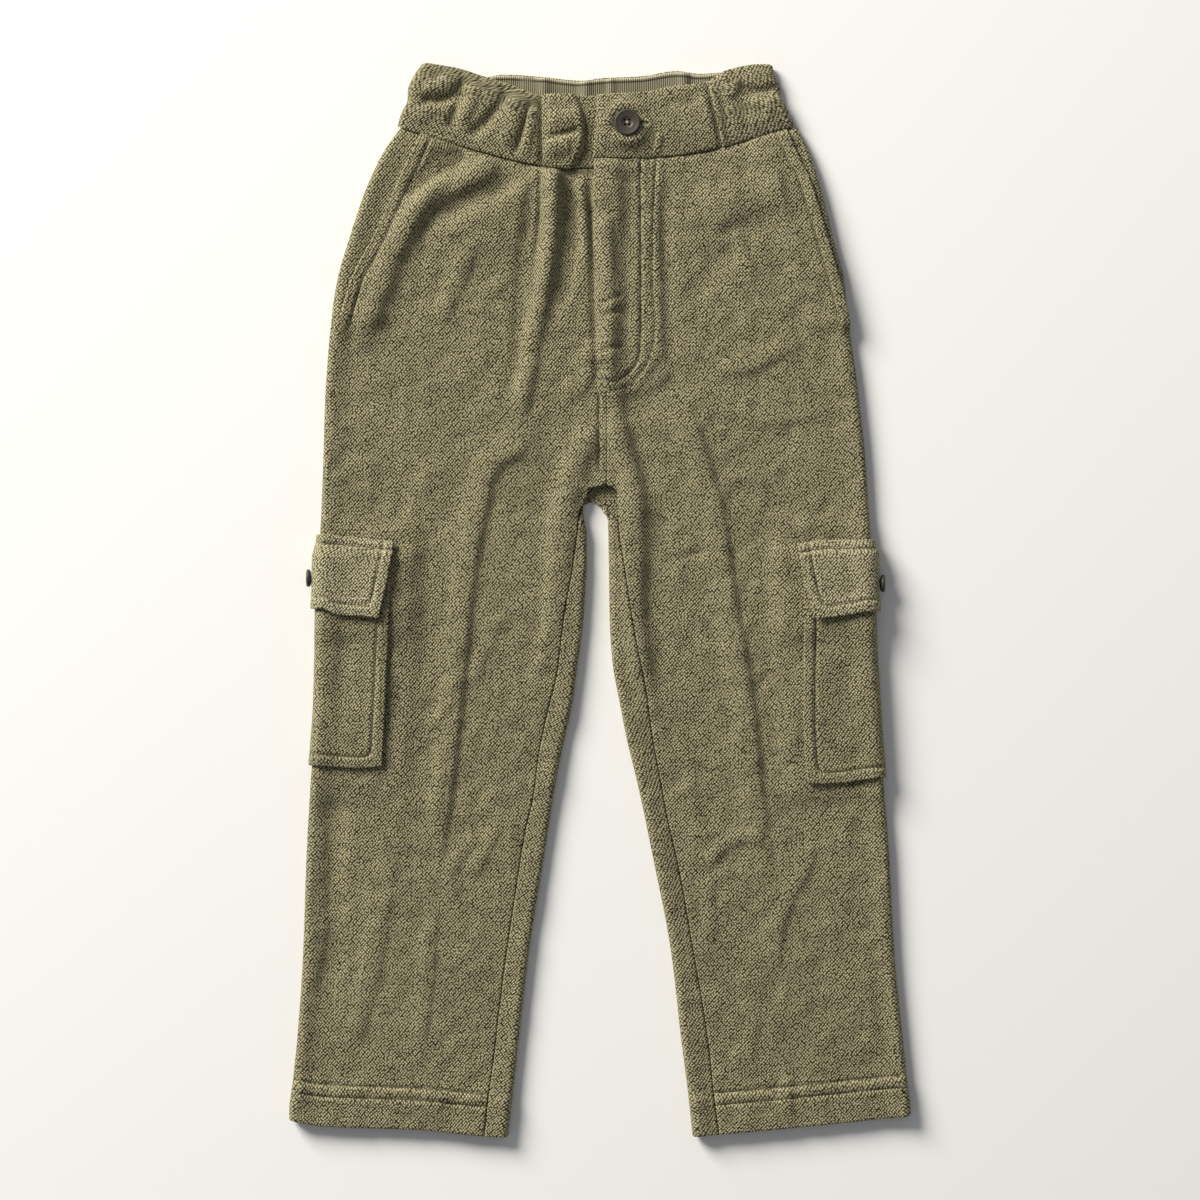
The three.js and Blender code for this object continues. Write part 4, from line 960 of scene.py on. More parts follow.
def back_panel(leg):
    turn = np.linspace(math.pi / 2, 0, 8)[:-1]
    inward = np.concatenate([np.linspace(0, 60, 24), ])
    share = np.arange(1, 16) / 16
    step = np.concatenate([np.linspace(0, 1, ARC_COLUMNS), 1 + np.linspace(0, 1, STRIP_COLUMNS)[1:]])
    columns = len(turn) + len(inward) + len(share) + len(step)
    first = len(turn) + len(inward) + len(share)
    drop = np.concatenate([stations(210, 2.6)[:-4], np.linspace(209, 216, 15),
                           np.linspace(217.5, 570, 186)[:-4], [570 - d for d in RIM[::-1]]])
    rows = np.repeat((TOP_BACK - drop)[:, None], columns, axis=1)

    def x_of(y):
        arc = leg.arc(y)
        parts = [arc.x[:, : len(turn)] + leg.out * arc.across[:, : len(turn)] * np.sin(turn)]
        parts.append(arc.x[:, len(turn): len(turn) + len(inward)] - leg.out * inward)
        between = y[:, len(turn) + len(inward): first]
        start = leg.arc(between).x - leg.out * inward[-1]
        parts.append(mix(start, wrapped(leg, between, np.zeros(1))[0], share))
        parts.append(wrapped(leg, y[:, first:], step)[0])
        return np.concatenate(parts, axis=1)

    height_at = lambda r, x: row_height(r, x, TOP_BACK, leg.back_seam, leg.hem)
    x, y = settle(rows, x_of, height_at)
    clear = ramp(2, 12, in_from_side(leg, x, y)) * (1 - np.clip(patches_under(leg, x, y), 0, 1))
    clear = clear * ramp(3, 14, in_from_inner(leg, x, y)) * ramp(4, 20, TOP_BACK - y)
    z = back_height(leg, x, y) + relief(BACK_CREASES, x, y) * clear
    arc = leg.arc(y[:, : len(turn)])
    z[:, : len(turn)] = arc.middle - np.maximum(arc.up * np.cos(turn), GAP / 2)
    z[:, first:] = wrapped(leg, y[:, first:], step)[1]
    points = np.stack([x, y, z], axis=2)
    return cloth_piece(f"back_{leg.name}", points, cloth_at(leg, x, y), PILE,
                       [f"back_panel_{leg.name}"])


for leg in LEGS.values():
    back_panel(leg)

# %% [markdown]
# A cargo pocket and its flap wrap the side edge, half on the front and half on the back. Their
# edges are turned and topstitched about 6 mm in, which leaves a plump rim. The flap hangs from a
# stitched strip along its top and lies over the pocket.

# %% Cargo pockets and flaps
PATCH_STITCH = 6.4
FLAP_STRIP = 5.2
PATCH_CREASES = [
    ([(-144, -18), (-146, -45), (-145, -76)], -1.0, 5.5, 6),
    ([(-129, -20), (-128.5, -50), (-127.5, -84)], 0.6, 5, 4),
    ([(-138, 24), (-142, 12), (-139, 0)], -0.3, 6, 6),
    ([(139, -34), (141, -54), (139, -78)], -0.6, 5, 5),
    ([(128, -24), (126, -56), (128, -88)], 0.5, 5, 5),
    ([(146, 8), (142, 2)], -0.5, 1.6, 1.6),
    ([(155, -20), (156, -50), (158, -84)], -0.4, 4, 4),
]


def both_near(a, b, soft=1.6):
    """The smaller of two distances, rounded where they are alike, as at a stitched corner."""
    return -soft * np.log(np.exp(-a / soft) + np.exp(-b / soft))


def patch(leg, name, up, top_at, bottom_at, edge, over_at, under_at, sewn):
    """A patch of cloth from its front edge, round the side, to the same place on the back."""
    rim = stations(40, 1.15)[: -len(RIM) + 1] / 40
    turn = np.linspace(0, math.pi / 2, 9)
    face = np.concatenate([np.ones(len(rim) + 9), -np.ones(8 + len(rim))])
    share = np.concatenate([1 - rim, np.zeros(17), 1 - rim[::-1]])
    angle = np.concatenate([np.zeros(len(rim)), turn, turn[-2::-1], np.zeros(len(rim))])
    up = np.repeat(up[:, None], len(face), axis=1)
    y = mix(bottom_at(0), top_at(0), up)
    for _ in range(4):
        width = (leg.arc(y).x - edge(y)) * leg.out
        inward = width * share
        y = mix(bottom_at(inward), top_at(inward), up)
    arc, over, under = leg.arc(y), over_at(y), under_at(y)
    flat_x = arc.x - leg.out * inward
    across = arc.across + (over + under) / 2 * LAYER
    x = np.where(share > 0, flat_x, arc.x + leg.out * across * np.sin(angle))
    high, low = arc.middle + arc.up + over * LAYER, arc.middle - arc.up - under * LAYER
    round_z = (high + low) / 2 + face * (high - low) / 2 * np.cos(angle)
    front_z = front_height(leg, x, y) + over * LAYER
    back_z = back_height(leg, x, y) - under * LAYER
    z = np.where(share > 0, np.where(face > 0, front_z, back_z), round_z)
    rise = sewn(width - inward, y - bottom_at(inward), top_at(inward) - y)
    rise = rise + relief(PATCH_CREASES, x, y) * np.where(face > 0, ramp(0, 6, inward), 0)
    rise = rise + 0.8 * wobble(x, y + 500 * face, 17, 5) * ramp(0, 6, inward)
    rise = rise + np.where(face > 0, stands_away(leg, name, x, y, inward), 0) * ramp(0, 8, inward)
    if name == "pocket":
        rise = rise * ramp(0, -9, y)  # the flap presses it flat
    lift = np.where(face > 0, rise, np.maximum(0.5 * rise, 0))
    z = z + lift * np.cos(angle) * np.where(face > 0, 1, 0.6)
    points = np.stack([x, y, z], axis=2)
    # the flaps take the paler copy of the towelling, painted lighter
    material = FLAP_PILE_PAINTED_LIGHTER if name == "flap" else PILE
    return cloth_piece(f"{name}_{leg.name}", points, CLOTH, material,
                       [f"cargo_{name}_{leg.name}"])


def pocket_sewing(edge, bottom, top):
    line = both_near(edge, bottom)
    rim = 0.8 * ramp(PATCH_STITCH, PATCH_STITCH - 1.2, line)
    return groove(line - PATCH_STITCH, 1.0) + rim + 0.5 * ramp(7, 22, line)


def flap_sewing(edge, bottom, top):
    line = both_near(edge, bottom)
    rim = 0.6 * ramp(PATCH_STITCH, PATCH_STITCH - 1.4, line)
    strip = 0.55 * ramp(FLAP_STRIP + 0.5, FLAP_STRIP - 0.8, top)
    return groove(line - PATCH_STITCH, 1.0) + groove(top - FLAP_STRIP, 1.3) + rim + strip


def one_layer(y):
    return np.ones_like(y)


def stands_away(leg, name, x, y, inward):
    """How far a patch's free edges lift off the leg. The left ones face the window."""
    if name == "flap":
        low = ramp(38, -10, y)
        return low * (0.6 + inward * (0.03 if leg.name == "left" else 0.02))
    middle = ramp(-100, -60, y) * ramp(20, -20, y)
    return 0.2 + inward * (0.015 if leg.name == "left" else 0.01) * middle


def flap_over(y):
    return 1.12 + 0.88 * ramp(36, 25, y) + 0.5 * ramp(6, -8, y)  # its free lower edge stands away


def flap_under(y):
    return 1 + ramp(*POCKET_RAMP, y)


for leg in LEGS.values():
    pocket_end = PATCHES[leg.name]["pocket_edge"][-1][0]
    tall = POCKET_TOP - pocket_end
    patch(leg, "pocket", stations(tall, 1.2) / tall, lambda i: POCKET_TOP + 0 * i, leg.pocket_bottom,
          leg.pocket_edge, one_layer, one_layer, pocket_sewing)
    patch(leg, "flap", stations(42, 1.0) / 42, leg.flap_top, leg.flap_bottom, leg.flap_edge,
          flap_over, flap_under, flap_sewing)

# %% [markdown]
# The waistband. Elastic gathers it from one join, round the back, to the other, while the two front
# ends are flat and lap at the fly. The gathers are uneven: some are deep folds that run right
# across the band, others are dimples. The left end buckles into a puffed pleat before it goes under
# the right end.

# %% Waistband
GATHERS = [
    # left stretch
    ([(-76, 300), (-82, 291), (-91, 286), (-104, 286)], -2.3, 3, 4),
    ([(-88, 302), (-97, 299)], -0.9, 3, 3),
    ([(-84, 300), (-93, 294), (-101, 293)], 0.9, 3, 3),
    ([(-76, 292), (-82, 281), (-87, 268)], -1.6, 3, 3.4),
    ([(-70, 296), (-74, 284), (-79, 272)], 0.8, 4, 3),
    ([(-51, 294), (-59, 281), (-67, 272), (-77, 264)], -1.9, 3.4, 4),
    ([(-46, 290), (-50, 274), (-56, 258)], 0.8, 4, 3),
    ([(-38.5, 288), (-43.5, 271), (-49.5, 252)], -1.6, 2.2, 2.2),
    ([(-39, 283), (-40.5, 268), (-42.5, 252)], 0.8, 2, 1.8),
    ([(-94, 284), (-100, 278), (-104, 272)], 0.9, 5, 4),
    # right stretch
    ([(106, 297), (96, 291), (86, 291), (77, 295)], -1.9, 3.5, 5),
    ([(96, 279), (88, 279), (80, 283), (75, 290)], -1.0, 4, 4.5),
    ([(104, 288), (94, 285), (86, 286)], 0.6, 4, 3),
    ([(110, 284), (98, 280), (84, 272)], 0.6, 5, 4),
    ([(62.5, 300), (65, 285), (68, 268), (71.5, 252)], 1.0, 1.6, 3),
    ([(76, 298), (77, 282), (80, 268)], 0.5, 4, 4),
]
BAND_END_CREASES = [
    ([(29, 271.8), (25.5, 272.6), (21, 273)], -1.3, 1, 1),
    ([(-10, 270), (-20, 266.3), (-31, 265)], -1.5, 2.4, 2.6),
    ([(-12, 285), (-20, 281.5), (-29, 285)], -0.8, 3, 3),
    ([(-17, 261), (-25, 258.5), (-32, 260)], 1.4, 4, 4.5),
    ([(-16, 277), (-22, 275), (-28, 276)], 0.7, 3.5, 3.5),
    ([(60, 293), (50, 285.5), (35, 283)], -0.8, 3, 4.5),
    ([(34.5, 267), (32, 254)], 0.9, 1.6, 1.6),
    ([(30, 279), (24, 276), (18, 277)], -0.5, 4, 4),
    ([(27, 266), (15, 262), (4, 264)], 0.7, 4, 4),
    ([(2, 286), (2.5, 270), (1, 256)], 0.6, 3, 3),
]
BACK_GATHERS = [-97, -85, -70, -59, -43, -30, -13, 4, 17, 33, 46, 62, 74, 90]


UNDER = 2.3  # how far one end of a band join runs under the other
PLEAT_EDGE = curve([(246, -17), (250, -14), (255, -11), (262, -9.2), (271, -8.8), (281, -11), (290, -14.5)])


def swell(up):
    return np.sin(np.pi * np.clip(up, 0, 1)) ** 0.55


def tuck(inside, up):
    """How far a band end sinks as it goes under the other: inside is its distance to the join."""
    return (1.3 + 1.2 * swell(up)) * ramp(4.5, 0.3, inside)


SIDE_BULGE = {
    "left": curve([(268, 3.2), (277, 3.6), (284, 2.6), (288, 3.6), (293, 5), (299, 4.4), (306, 2.2)]),
    "right": curve([(262, 0), (280, -0.6), (287, -1.6), (293, 0.8), (299, 0.3), (306, 1.8)]),
}


def bulged(x, y, up, leg, corner):
    """The band's end, where its gathers push the outline out, unevenly."""
    return x + leg.out * SIDE_BULGE[leg.name](y) * ramp(20, 0, np.abs(x - mix(*corner, up)))


def stretch(join, corner, leg, share, up):
    """Points of one front stretch of the elastic band: share runs from the join to the side."""
    under = UNDER if leg.name == "left" else -WAIST_GAP / 2
    seam_x = mix(join[0] - leg.out * under, corner[0], share)
    top_x = mix(join[1] - leg.out * under, corner[1], share)
    x = mix(seam_x, top_x, up)
    y = mix(leg.waist_seam(seam_x) + WAIST_GAP / 2, leg.band_top(top_x), up)
    x = bulged(x, y, up, leg, corner)
    fine = 0.5 * wobble(x, y, 8, 11)
    z = BAND_Z - SEAM_DIP / 2 + (PUFF + 1.7 * relief(GATHERS, x, y, 0.15, 0.15) + fine) * swell(up)
    if leg.name == "left":
        z = z - tuck((x - mix(*join, up)) * leg.out, up)
    return np.stack([x, y, z], axis=2)


def elastic_band():
    height = 36
    up = (stations(height, 0.95) / height)[None, :]
    reach = (BAND_Z - BACK_BAND_Z) / 2 + BAND / 2
    corner = {name: (float(leg.side(271)) - leg.out * reach,
                     BAND_TOP[name][0 if name == "left" else -1][0] - leg.out * reach)
              for name, leg in LEGS.items()}
    back_top, back_seam = curve(BACK_TOP), curve(BACK_SEAM)
    left = stretch(JOINS["left"], corner["left"], LEGS["left"],
                   (stations(80, 0.95)[:-4] / 80)[:, None], up)
    right = stretch(JOINS["right"], corner["right"], LEGS["right"],
                    (stations(45, 0.95)[:-4] / 45)[:, None], up)
    share = np.linspace(0, 1, 170)[:, None]
    seam_x = mix(corner["left"][0], corner["right"][0], share)
    top_x = mix(corner["left"][1], corner["right"][1], share)
    x = mix(seam_x, top_x, up)
    y = mix(back_seam(seam_x) + WAIST_GAP / 2, back_top(top_x), up)
    for leg in LEGS.values():
        x = bulged(x, y, up, leg, corner[leg.name])
    pinch = sum(np.exp(-(((x - at - 2 * np.sin(y / 9 + at)) / 2.6) ** 2)) for at in BACK_GATHERS)
    z = BACK_BAND_Z + 0.45 * pinch * swell(up)
    back = np.stack([x, y, z], axis=2)

    def turned(front_edge, back_edge, leg):
        half = np.linspace(0, 1, 12)[1:-1][:, None]
        proud = leg.out * (BAND_Z - BACK_BAND_Z) / 2 * np.sin(half * np.pi)
        climb = (leg.waist_seam(front_edge[:, 0] + proud) - leg.waist_seam(front_edge[:, 0])) * (1 - up)
        x = mix(front_edge[:, 0], back_edge[:, 0], half) + proud
        y = mix(front_edge[:, 1], back_edge[:, 1], half) + climb
        z = back_edge[:, 2] + (front_edge[:, 2] - back_edge[:, 2]) / 2 * (1 + np.cos(half * np.pi))
        return np.stack([x, y, z], axis=2)

    points = np.concatenate([
        left, turned(left[-1], back[0], LEGS["left"]), back,
        turned(right[-1], back[-1], LEGS["right"])[::-1], right[::-1],
    ])
    return cloth_piece("waistband_elastic_cloth", points, BAND, PILE, ["waistband_elastic"],
                       round_axis=0)


elastic_band()


def band_end(name, leg, seam_xs, top_xs, z_at, node):
    height = 36
    up = (stations(height, 0.65) / height)[None, :]
    width = abs(seam_xs[1] - seam_xs[0])
    share = (stations(width, 0.65) / width)[:, None]
    seam_x, top_x = mix(*seam_xs, share), mix(*top_xs, share)
    x = mix(seam_x, top_x, up)
    y = mix(leg.waist_seam(seam_x) + WAIST_GAP / 2, leg.band_top(top_x), up)
    fine = 0.45 * wobble(x, y, 7, 13)
    z = z_at(x, y, up) + (1.6 * relief(BAND_END_CREASES, x, y, 0.2, 0.2) + fine) * swell(up)
    return cloth_piece(name, np.stack([x, y, z], axis=2), BAND, PILE, [node],
                       round_axis=0)


def pleated_z(x, y, up):
    """The left end is pushed up in a pillow with a steep right-hand edge."""
    edge = PLEAT_EDGE(y)
    pillow = ramp(edge + 0.4, edge - 2.8, x)
    high = mix(PUFF, 5.6, ramp(-33.5, -26, x))
    over_seam = 1.3 * (1 - swell(up)) * pillow
    return BAND_Z - SEAM_DIP / 2 + over_seam + mix(0.2, high, pillow) * swell(up)


def lapped_z(x, y, up):
    """The right end lies over the left one, swells round the button and goes under the elastic."""
    lap = (BAND + GAP - 0.2) * ramp(36, 9, x)
    button = np.hypot(x - 15.5, y - 272.5)
    lap = lap + 1.5 * np.exp(-(((button - 10.5) / 3) ** 2)) - 1.2 * ramp(8.5, 6, button)
    puff = mix(FLAT_PUFF, PUFF, ramp(50, 66, x))
    return BAND_Z - SEAM_DIP / 2 + lap + puff * swell(up) - tuck(mix(*JOINS["right"], up) - x, up)


band_end("waistband_end_left", LEGS["left"], (JOINS["left"][0] + 0.25, FLY_UNDERLAP - 1),
         (JOINS["left"][1] + 0.25, FLY_UNDERLAP - 1), pleated_z, "waistband_front_left")
band_end("waistband_end_right", LEGS["right"], (-4, JOINS["right"][0] + UNDER),
         (-1.5, JOINS["right"][1] + UNDER), lapped_z, "waistband_front_right")

# %% [markdown]
# The facing inside the back of the waistband shows as a strip above the front band. Its two marks
# colour the selvedge and the seam below it.

# %% Facing of the back waistband
FACING_FOLDS = [(-62, 0.5, 3), (-47, -0.4, 2), (-32, 0.8, 3), (-19, -0.8, 5), (-8, 0.9, 3), (3, -0.5, 2),
                (6, 0.6, 2.4), (30, -0.5, 9), (48, 0.7, 3), (53, -0.7, 2), (63, 0.4, 4)]


def back_facing():
    top, seam = curve(BACK_TOP), curve(BACK_SEAM)
    height = 34
    up = (stations(height, 0.8) / height)[None, :]
    share = np.linspace(0, 1, 210)[:, None]
    x = mix(mix(-109, 108, share), mix(-96, 93, share), up)
    y = mix(seam(x) + 1, top(x) - 0.9, up)
    waves = sum(h * np.exp(-(((x - at) / width) ** 2)) for at, h, width in FACING_FOLDS)
    z = FACING_Z + np.maximum(2.2 * waves, -0.5) * ramp(0.3, 0.8, up)
    below_top = (1 - up) * height + 0 * x
    broken = ramp(0.15, 0.3, wobble(x, 0 * x, 26, 21) + 0.5)
    marks = {
        "selvedge": ramp(1.5, 0.8, below_top) * broken,
        "seam": ramp(1.4, 1.9, below_top) * ramp(2.9, 2.3, below_top) * broken,
    }
    return cloth_piece("waistband_facing", np.stack([x, y, z], axis=2), FACING, RIB_KNIT,
                       ["waistband_back_facing"], marks, round_axis=0)


back_facing()

# %% [markdown]
# A sewn button is a lathed disc with a raised rim, a dished middle and four holes. Its profile is
# spun round, and the holes are cut with a Boolean modifier, which is then applied. Two crossed
# stitches hold it.

# %% Buttons
PROFILE = [
    (0, 0), (0.72, 0), (0.94, 0.2), (1, 0.5), (0.99, 0.72), (0.955, 0.9), (0.9, 1), (0.86, 1),
    (0.82, 0.95), (0.5, 0.93), (0.44, 0.9), (0.38, 0.78), (0.3, 0.72), (0, 0.7),
]
HOLE_PLACE, HOLE_RADIUS = 0.165, 0.1  # of the button's radius


def applied(obj):
    """The object's mesh with its modifiers applied."""
    depsgraph = bpy.context.evaluated_depsgraph_get()
    return bpy.data.meshes.new_from_object(obj.evaluated_get(depsgraph))


def disc(radius, height):
    bm = bmesh.new()
    line = [bm.verts.new((r * radius, 0, h * height)) for r, h in PROFILE]
    edges = [bm.edges.new(pair) for pair in zip(line, line[1:])]
    bmesh.ops.spin(bm, geom=line + edges, cent=(0, 0, 0), axis=(0, 0, 1), angle=2 * math.pi,
                   steps=56, use_merge=True)
    bmesh.ops.remove_doubles(bm, verts=bm.verts, dist=1e-6)
    bmesh.ops.recalc_face_normals(bm, faces=bm.faces)
    mesh = bpy.data.meshes.new("disc")
    bm.to_mesh(mesh)
    bm.free()
    return mesh


def hole_cutter(radius, height):
    bm = bmesh.new()
    for x, y in ((1, 1), (1, -1), (-1, 1), (-1, -1)):
        place = Matrix.Translation((x * radius * HOLE_PLACE, y * radius * HOLE_PLACE, 0))
        bmesh.ops.create_cone(bm, cap_ends=True, segments=18, radius1=radius * HOLE_RADIUS,
                              radius2=radius * HOLE_RADIUS, depth=height * 4, matrix=place)
    mesh = bpy.data.meshes.new("holes")
    bm.to_mesh(mesh)
    bm.free()
    return mesh


def thread_mesh(name, stitches, material):
    """Joins stitches, given as (start, end, thickness), in one mesh of slim rounded beads."""
    bm = bmesh.new()
    bmesh.ops.create_uvsphere(bm, u_segments=6, v_segments=5, radius=0.5)
    bm.verts.index_update()
    bead = np.array([v.co for v in bm.verts])
    faces = np.array([[v.index for v in f.verts] + [-1] * (4 - len(f.verts)) for f in bm.faces])
    bm.free()
    start, end, thick = (np.array(part, float) for part in zip(*stitches))
    way = end - start
    side = np.cross(way, (0.0, 0.2, 1.0))
    side *= (thick / np.linalg.norm(side, axis=1))[:, None]
    up = np.cross(side, way)
    up *= (thick / np.linalg.norm(up, axis=1))[:, None]
    middle = ((start + end) / 2)[:, None]
    points = middle + sum(bead[:, k, None] * axis[:, None] for k, axis in enumerate((side, up, way)))
    copies = [(faces + len(bead) * i)[row, :] for i in range(len(stitches)) for row in range(len(faces))]
    polygons = [[v for v, kept in zip(copy, faces[i % len(faces)]) if kept >= 0] for i, copy in enumerate(copies)]
    mesh = bpy.data.meshes.new(name)
    mesh.from_pydata(points.reshape(-1, 3), [], polygons)
    return show_mesh(mesh, name, material)


def show_mesh(mesh, name, material):
    mesh.polygons.foreach_set("use_smooth", [True] * len(mesh.polygons))
    mesh.materials.append(material)
    obj = bpy.data.objects.new(name, mesh)
    bpy.context.collection.objects.link(obj)
    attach(obj, "root")
    return obj


def sewn_button(node, name, radius, height, axis):
    low, high = (Vector(corner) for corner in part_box(node))
    seat = (low + high) / 2 - axis * height / 2
    place = Matrix.Translation(seat) @ axis.to_track_quat("Z", "Y").to_matrix().to_4x4()
    body = bpy.data.objects.new(name + "_body", disc(radius, height))
    cutter = bpy.data.objects.new(name + "_holes", hole_cutter(radius, height))
    for obj in (body, cutter):
        bpy.context.collection.objects.link(obj)
    cut = body.modifiers.new("holes", "BOOLEAN")
    cut.operation, cut.solver, cut.object = "DIFFERENCE", "EXACT", cutter
    mesh = applied(body)
    for obj in (body, cutter):
        bpy.data.objects.remove(obj)
    mesh.transform(place)
    obj = show_mesh(mesh, name, BUTTON)
    sharp = obj.modifiers.new("corners", "EDGE_SPLIT")
    sharp.split_angle = math.radians(50)
    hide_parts(node)
    reach, top = 0.7 * radius * HOLE_PLACE, height * 0.74
    cross = []
    for x in (-1, 1):
        ends = [Vector((s * reach, s * x * reach, top)) for s in (-1, 1)]
        cross.append((place @ ends[0], place @ ends[1], radius * 0.065))
    thread_mesh(name + "_thread", cross, PALE_THREAD)
    print(name, "radius", round(radius / MM, 1), "mm")


sewn_button("front_button", "button_waist", 7.6 * MM, 3 * MM, Vector((0, 0, 1)))
for leg in LEGS.values():
    sewn_button(f"flap_button_{leg.name}", f"button_flap_{leg.name}", 5 * MM, 2.5 * MM,
                Vector((leg.out, 0, 0)))

# %% [markdown]
# Sewing. Topstitches are real thread here: each is a slim bead that lies in its groove. A ray from
# above or below finds the cloth for each end of a stitch, so the thread follows every crease. All
# stitches of one kind are joined in one mesh.

# %% Topstitching
PITCH = 2.9  # length of a stitch with its gap
THREAD_WIDTH = 0.62


def cloth_tree(name):
    return BVHTree.FromObject(PIECES[name].obj, bpy.context.evaluated_depsgraph_get())


def sew(tree, path, face=1, pitch=PITCH, thick=THREAD_WIDTH):
    """Stitches along a path of (x, y) on the front or the back of a piece."""
    path = np.array(path, float)
    run = np.concatenate([[0], np.cumsum(np.hypot(*np.diff(path, axis=0).T))])
    places = np.arange(0, run[-1] - pitch, pitch)
    ends = [np.stack([np.interp(places + d, run, path[:, k]) for k in (0, 1)], axis=1)
            for d in (0.12 * pitch, 0.88 * pitch)]
    down = Vector((0, 0, -face))
    stitches = []
    for pair in zip(*ends):
        hits = [tree.ray_cast(Vector((x * MM, y * MM, 60 * MM * face)), down)[0] for x, y in pair]
        if None not in hits:
            stitches.append((*hits, thick * MM))
    return stitches


def side_by_side(at, path_y, leg_edge):
    return [(leg_edge(y) + at, y) for y in path_y]


def sew_fronts():
    stitches = []
    for leg in LEGS.values():
        tree = cloth_tree(f"front_{leg.name}")
        slant = lambda y: leg.pocket(y) - leg.out * POCKET_STITCH / pocket_slant(leg, y)
        heights = np.arange(262, 160, -3)
        stitches += sew(tree, [(float(slant(y)), y) for y in heights])
        for row in HEM_STITCHES:
            inner, outer = float(leg.front(-290)) + leg.out * 1.5, float(leg.side(-290)) - leg.out * 5
            xs = np.linspace(inner, outer, 30)
            stitches += sew(tree, [(x, float(leg.hem(x)) + row) for x in xs])
    right = cloth_tree("front_right")
    for path in FLY_ROWS.values():
        stitches += sew(right, smooth_path(path))
    stitches += sew(cloth_tree("front_left"), smooth_path(CROTCH_ROW))
    thread_mesh("topstitching_fronts", stitches, THREAD)
    return len(stitches)


def patch_lines(leg, edge, bottom, end, top):
    """The stitched line of a patch, down its front edge and round to the side."""
    inside = lambda y: float(edge(y)) + leg.out * PATCH_STITCH
    width = lambda x, y: (float(leg.arc(y).x) - x) * leg.out
    foot = end + PATCH_STITCH
    corner_x = inside(foot)
    down = [(inside(y), y) for y in np.linspace(top, foot + 4, 12)]
    bottom_xs = np.linspace(corner_x + leg.out * 4, float(leg.arc(foot).x), 10)
    along = [(x, float(bottom(width(x, foot))) + PATCH_STITCH) for x in bottom_xs]
    turn = [(corner_x + leg.out * 1.2, foot + 1.2)]
    return down + turn + along


def sew_patches():
    stitches = []
    for leg in LEGS.values():
        ends = PATCHES[leg.name]
        pocket_foot = ends["pocket_bottom"][-1][1]
        flap_foot = ends["flap_bottom"][-1][1]
        pocket, flap = cloth_tree(f"pocket_{leg.name}"), cloth_tree(f"flap_{leg.name}")
        line = patch_lines(leg, leg.pocket_edge, leg.pocket_bottom, pocket_foot, -12)
        stitches += sew(pocket, line)
        stitches += sew(pocket, line, face=-1)
        line = patch_lines(leg, leg.flap_edge, leg.flap_bottom, flap_foot, 26)
        stitches += sew(flap, line)
        stitches += sew(flap, line, face=-1)
        xs = np.linspace(float(leg.flap_edge(28)) + leg.out, float(leg.arc(28).x), 12)
        strip = [(x, float(leg.flap_top((float(leg.arc(28).x) - x) * leg.out)) - FLAP_STRIP) for x in xs]
        for face in (1, -1):
            stitches += sew(flap, strip, face)
    thread_mesh("topstitching_pockets", stitches, THREAD)
    return len(stitches)


def sew_backs():
    stitches = []
    for leg in LEGS.values():
        tree = cloth_tree(f"back_{leg.name}")
        for row in HEM_STITCHES:
            xs = np.linspace(float(leg.inner(-290)) + leg.out * 5, float(leg.side(-290)) - leg.out * 5, 40)
            stitches += sew(tree, [(x, float(leg.hem(x)) + row) for x in xs], face=-1)
            strip = np.linspace(float(leg.inner(-290)) + leg.out * 4, float(leg.front(-290)), 8)
            stitches += sew(tree, [(x, float(leg.hem(x)) + row) for x in strip])
        seam = [(float(leg.inner(57)) + leg.out * (3.4 + 0 * y), y) for y in np.linspace(262, 60, 60)]
        stitches += sew(tree, seam, face=-1)
    thread_mesh("topstitching_backs", stitches, THREAD)
    return len(stitches)


def sew_waist():
    """Pale thread: the end of the buttonhole beside the button, and stitches that show at the seam."""
    right, left = cloth_tree("waistband_end_right"), cloth_tree("waistband_end_left")
    elastic = cloth_tree("waistband_elastic_cloth")
    stitches = []
    for x in np.arange(23.2, 27.2, 0.95):
        for y0, y1 in ((273.1, 275.2), (269.9, 272.0)):
            stitches += sew(right, [(x, y0), (x + 0.4, y1)], pitch=1.9, thick=0.6)
    for y in np.arange(270.6, 274.6, 0.95):
        stitches += sew(right, [(27.2, y), (29.4, y + 0.2)], pitch=1.9, thick=0.6)
    stitches += sew(left, [(-27, 249), (-20, 248.8), (-16, 249.2)], pitch=2.4, thick=0.6)
    seam = LEGS["left"].waist_seam
    stitches += sew(elastic, [(x, float(seam(x)) + 1.6) for x in np.arange(-98, -80, 2)], thick=0.5)
    thread_mesh("waist_stitches", stitches, PALE_THREAD)


print("Stitches:", sew_fronts(), sew_patches(), sew_backs())
sew_waist()
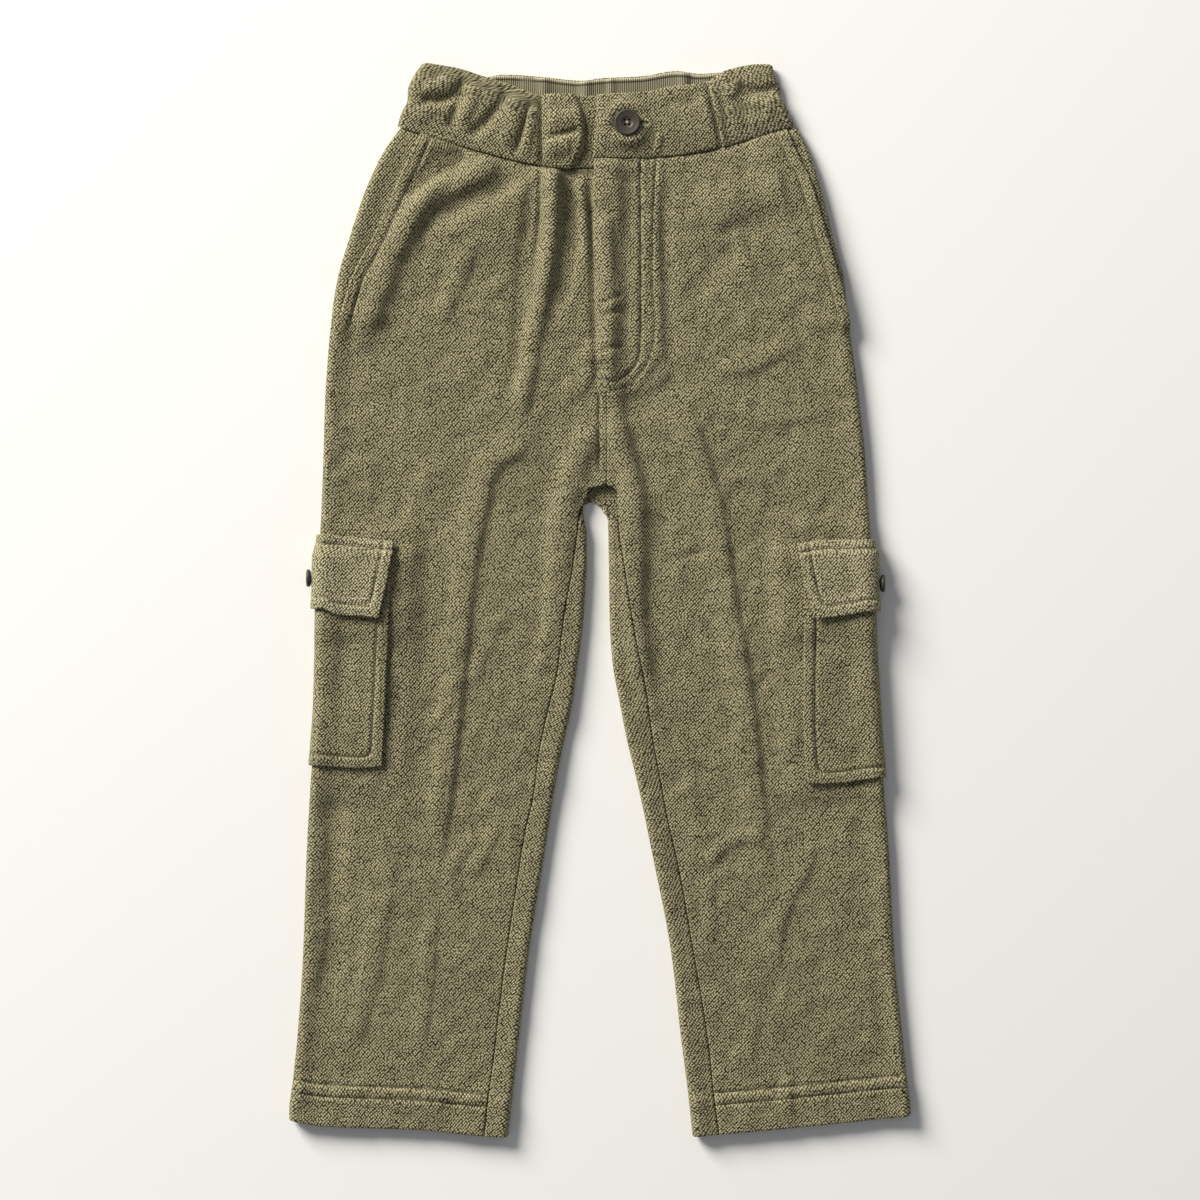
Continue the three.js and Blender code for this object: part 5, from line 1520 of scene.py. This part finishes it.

# %% [markdown]
# A panel's cut on the cutting table is a little larger than what shows, by the seam allowances, and
# the gathered band was cut a quarter longer than it lies.

# %% [markdown]
# The photograph was taken from straight above with a long lens, under a large soft window at the
# upper left. The lamp is wide, so that shadows are soft, and low enough to rake the creases. The
# white surface and a dim sky fill the shadows.

# %% Floor, light and camera
def area_lamp(name, place, size, power, tint):
    lamp = bpy.data.lights.new(name, "AREA")
    lamp.shape, lamp.size, lamp.energy, lamp.color = "DISK", size, power, linear(tint)[:3]
    obj = bpy.data.objects.new(name, lamp)
    obj.location = place
    obj.rotation_mode = "QUATERNION"
    obj.rotation_quaternion = (-Vector(place)).to_track_quat("-Z", "Y")
    bpy.context.collection.objects.link(obj)


bm = bmesh.new()
bmesh.ops.create_grid(bm, x_segments=1, y_segments=1, size=6,
                      matrix=Matrix.Translation((0, 0, -0.2 * MM)))
floor = bpy.data.meshes.new("white paper")
bm.to_mesh(floor)
bm.free()
paper, _, _ = new_material("white studio paper", Base_Color=linear("#f7f7f6"), Roughness=0.9)
floor.materials.append(paper)
floor = bpy.data.objects.new("floor", floor)
bpy.context.collection.objects.link(floor)

area_lamp("window", (-2.9, 2.9, 2.25), 2.4, 370, "#fffaf2")
world = bpy.data.worlds.new("soft sky")
world.use_nodes = True
world.node_tree.nodes["Background"].inputs["Color"].default_value = linear("#f2f4f8")
world.node_tree.nodes["Background"].inputs["Strength"].default_value = 0.25
bpy.context.scene.world = world
print("View transform:", bpy.context.scene.view_settings.view_transform)
bpy.context.scene.view_settings.view_transform = "Standard"

PHOTO = 1200  # pixels across
PIXEL = 0.572  # millimetres across a pixel of the photograph, from the size of the waist button
LENS, SENSOR = 120, 36
camera = bpy.data.cameras.new("camera")
camera.lens, camera.sensor_width, camera.clip_end = LENS, SENSOR, 10
above = bpy.data.objects.new("camera", camera)
above.location = (0, 0, PHOTO * PIXEL * MM * LENS / SENSOR + 5 * MM)
bpy.context.collection.objects.link(above)
bpy.context.scene.camera = above

# %% Finish
bpy.context.view_layer.update()
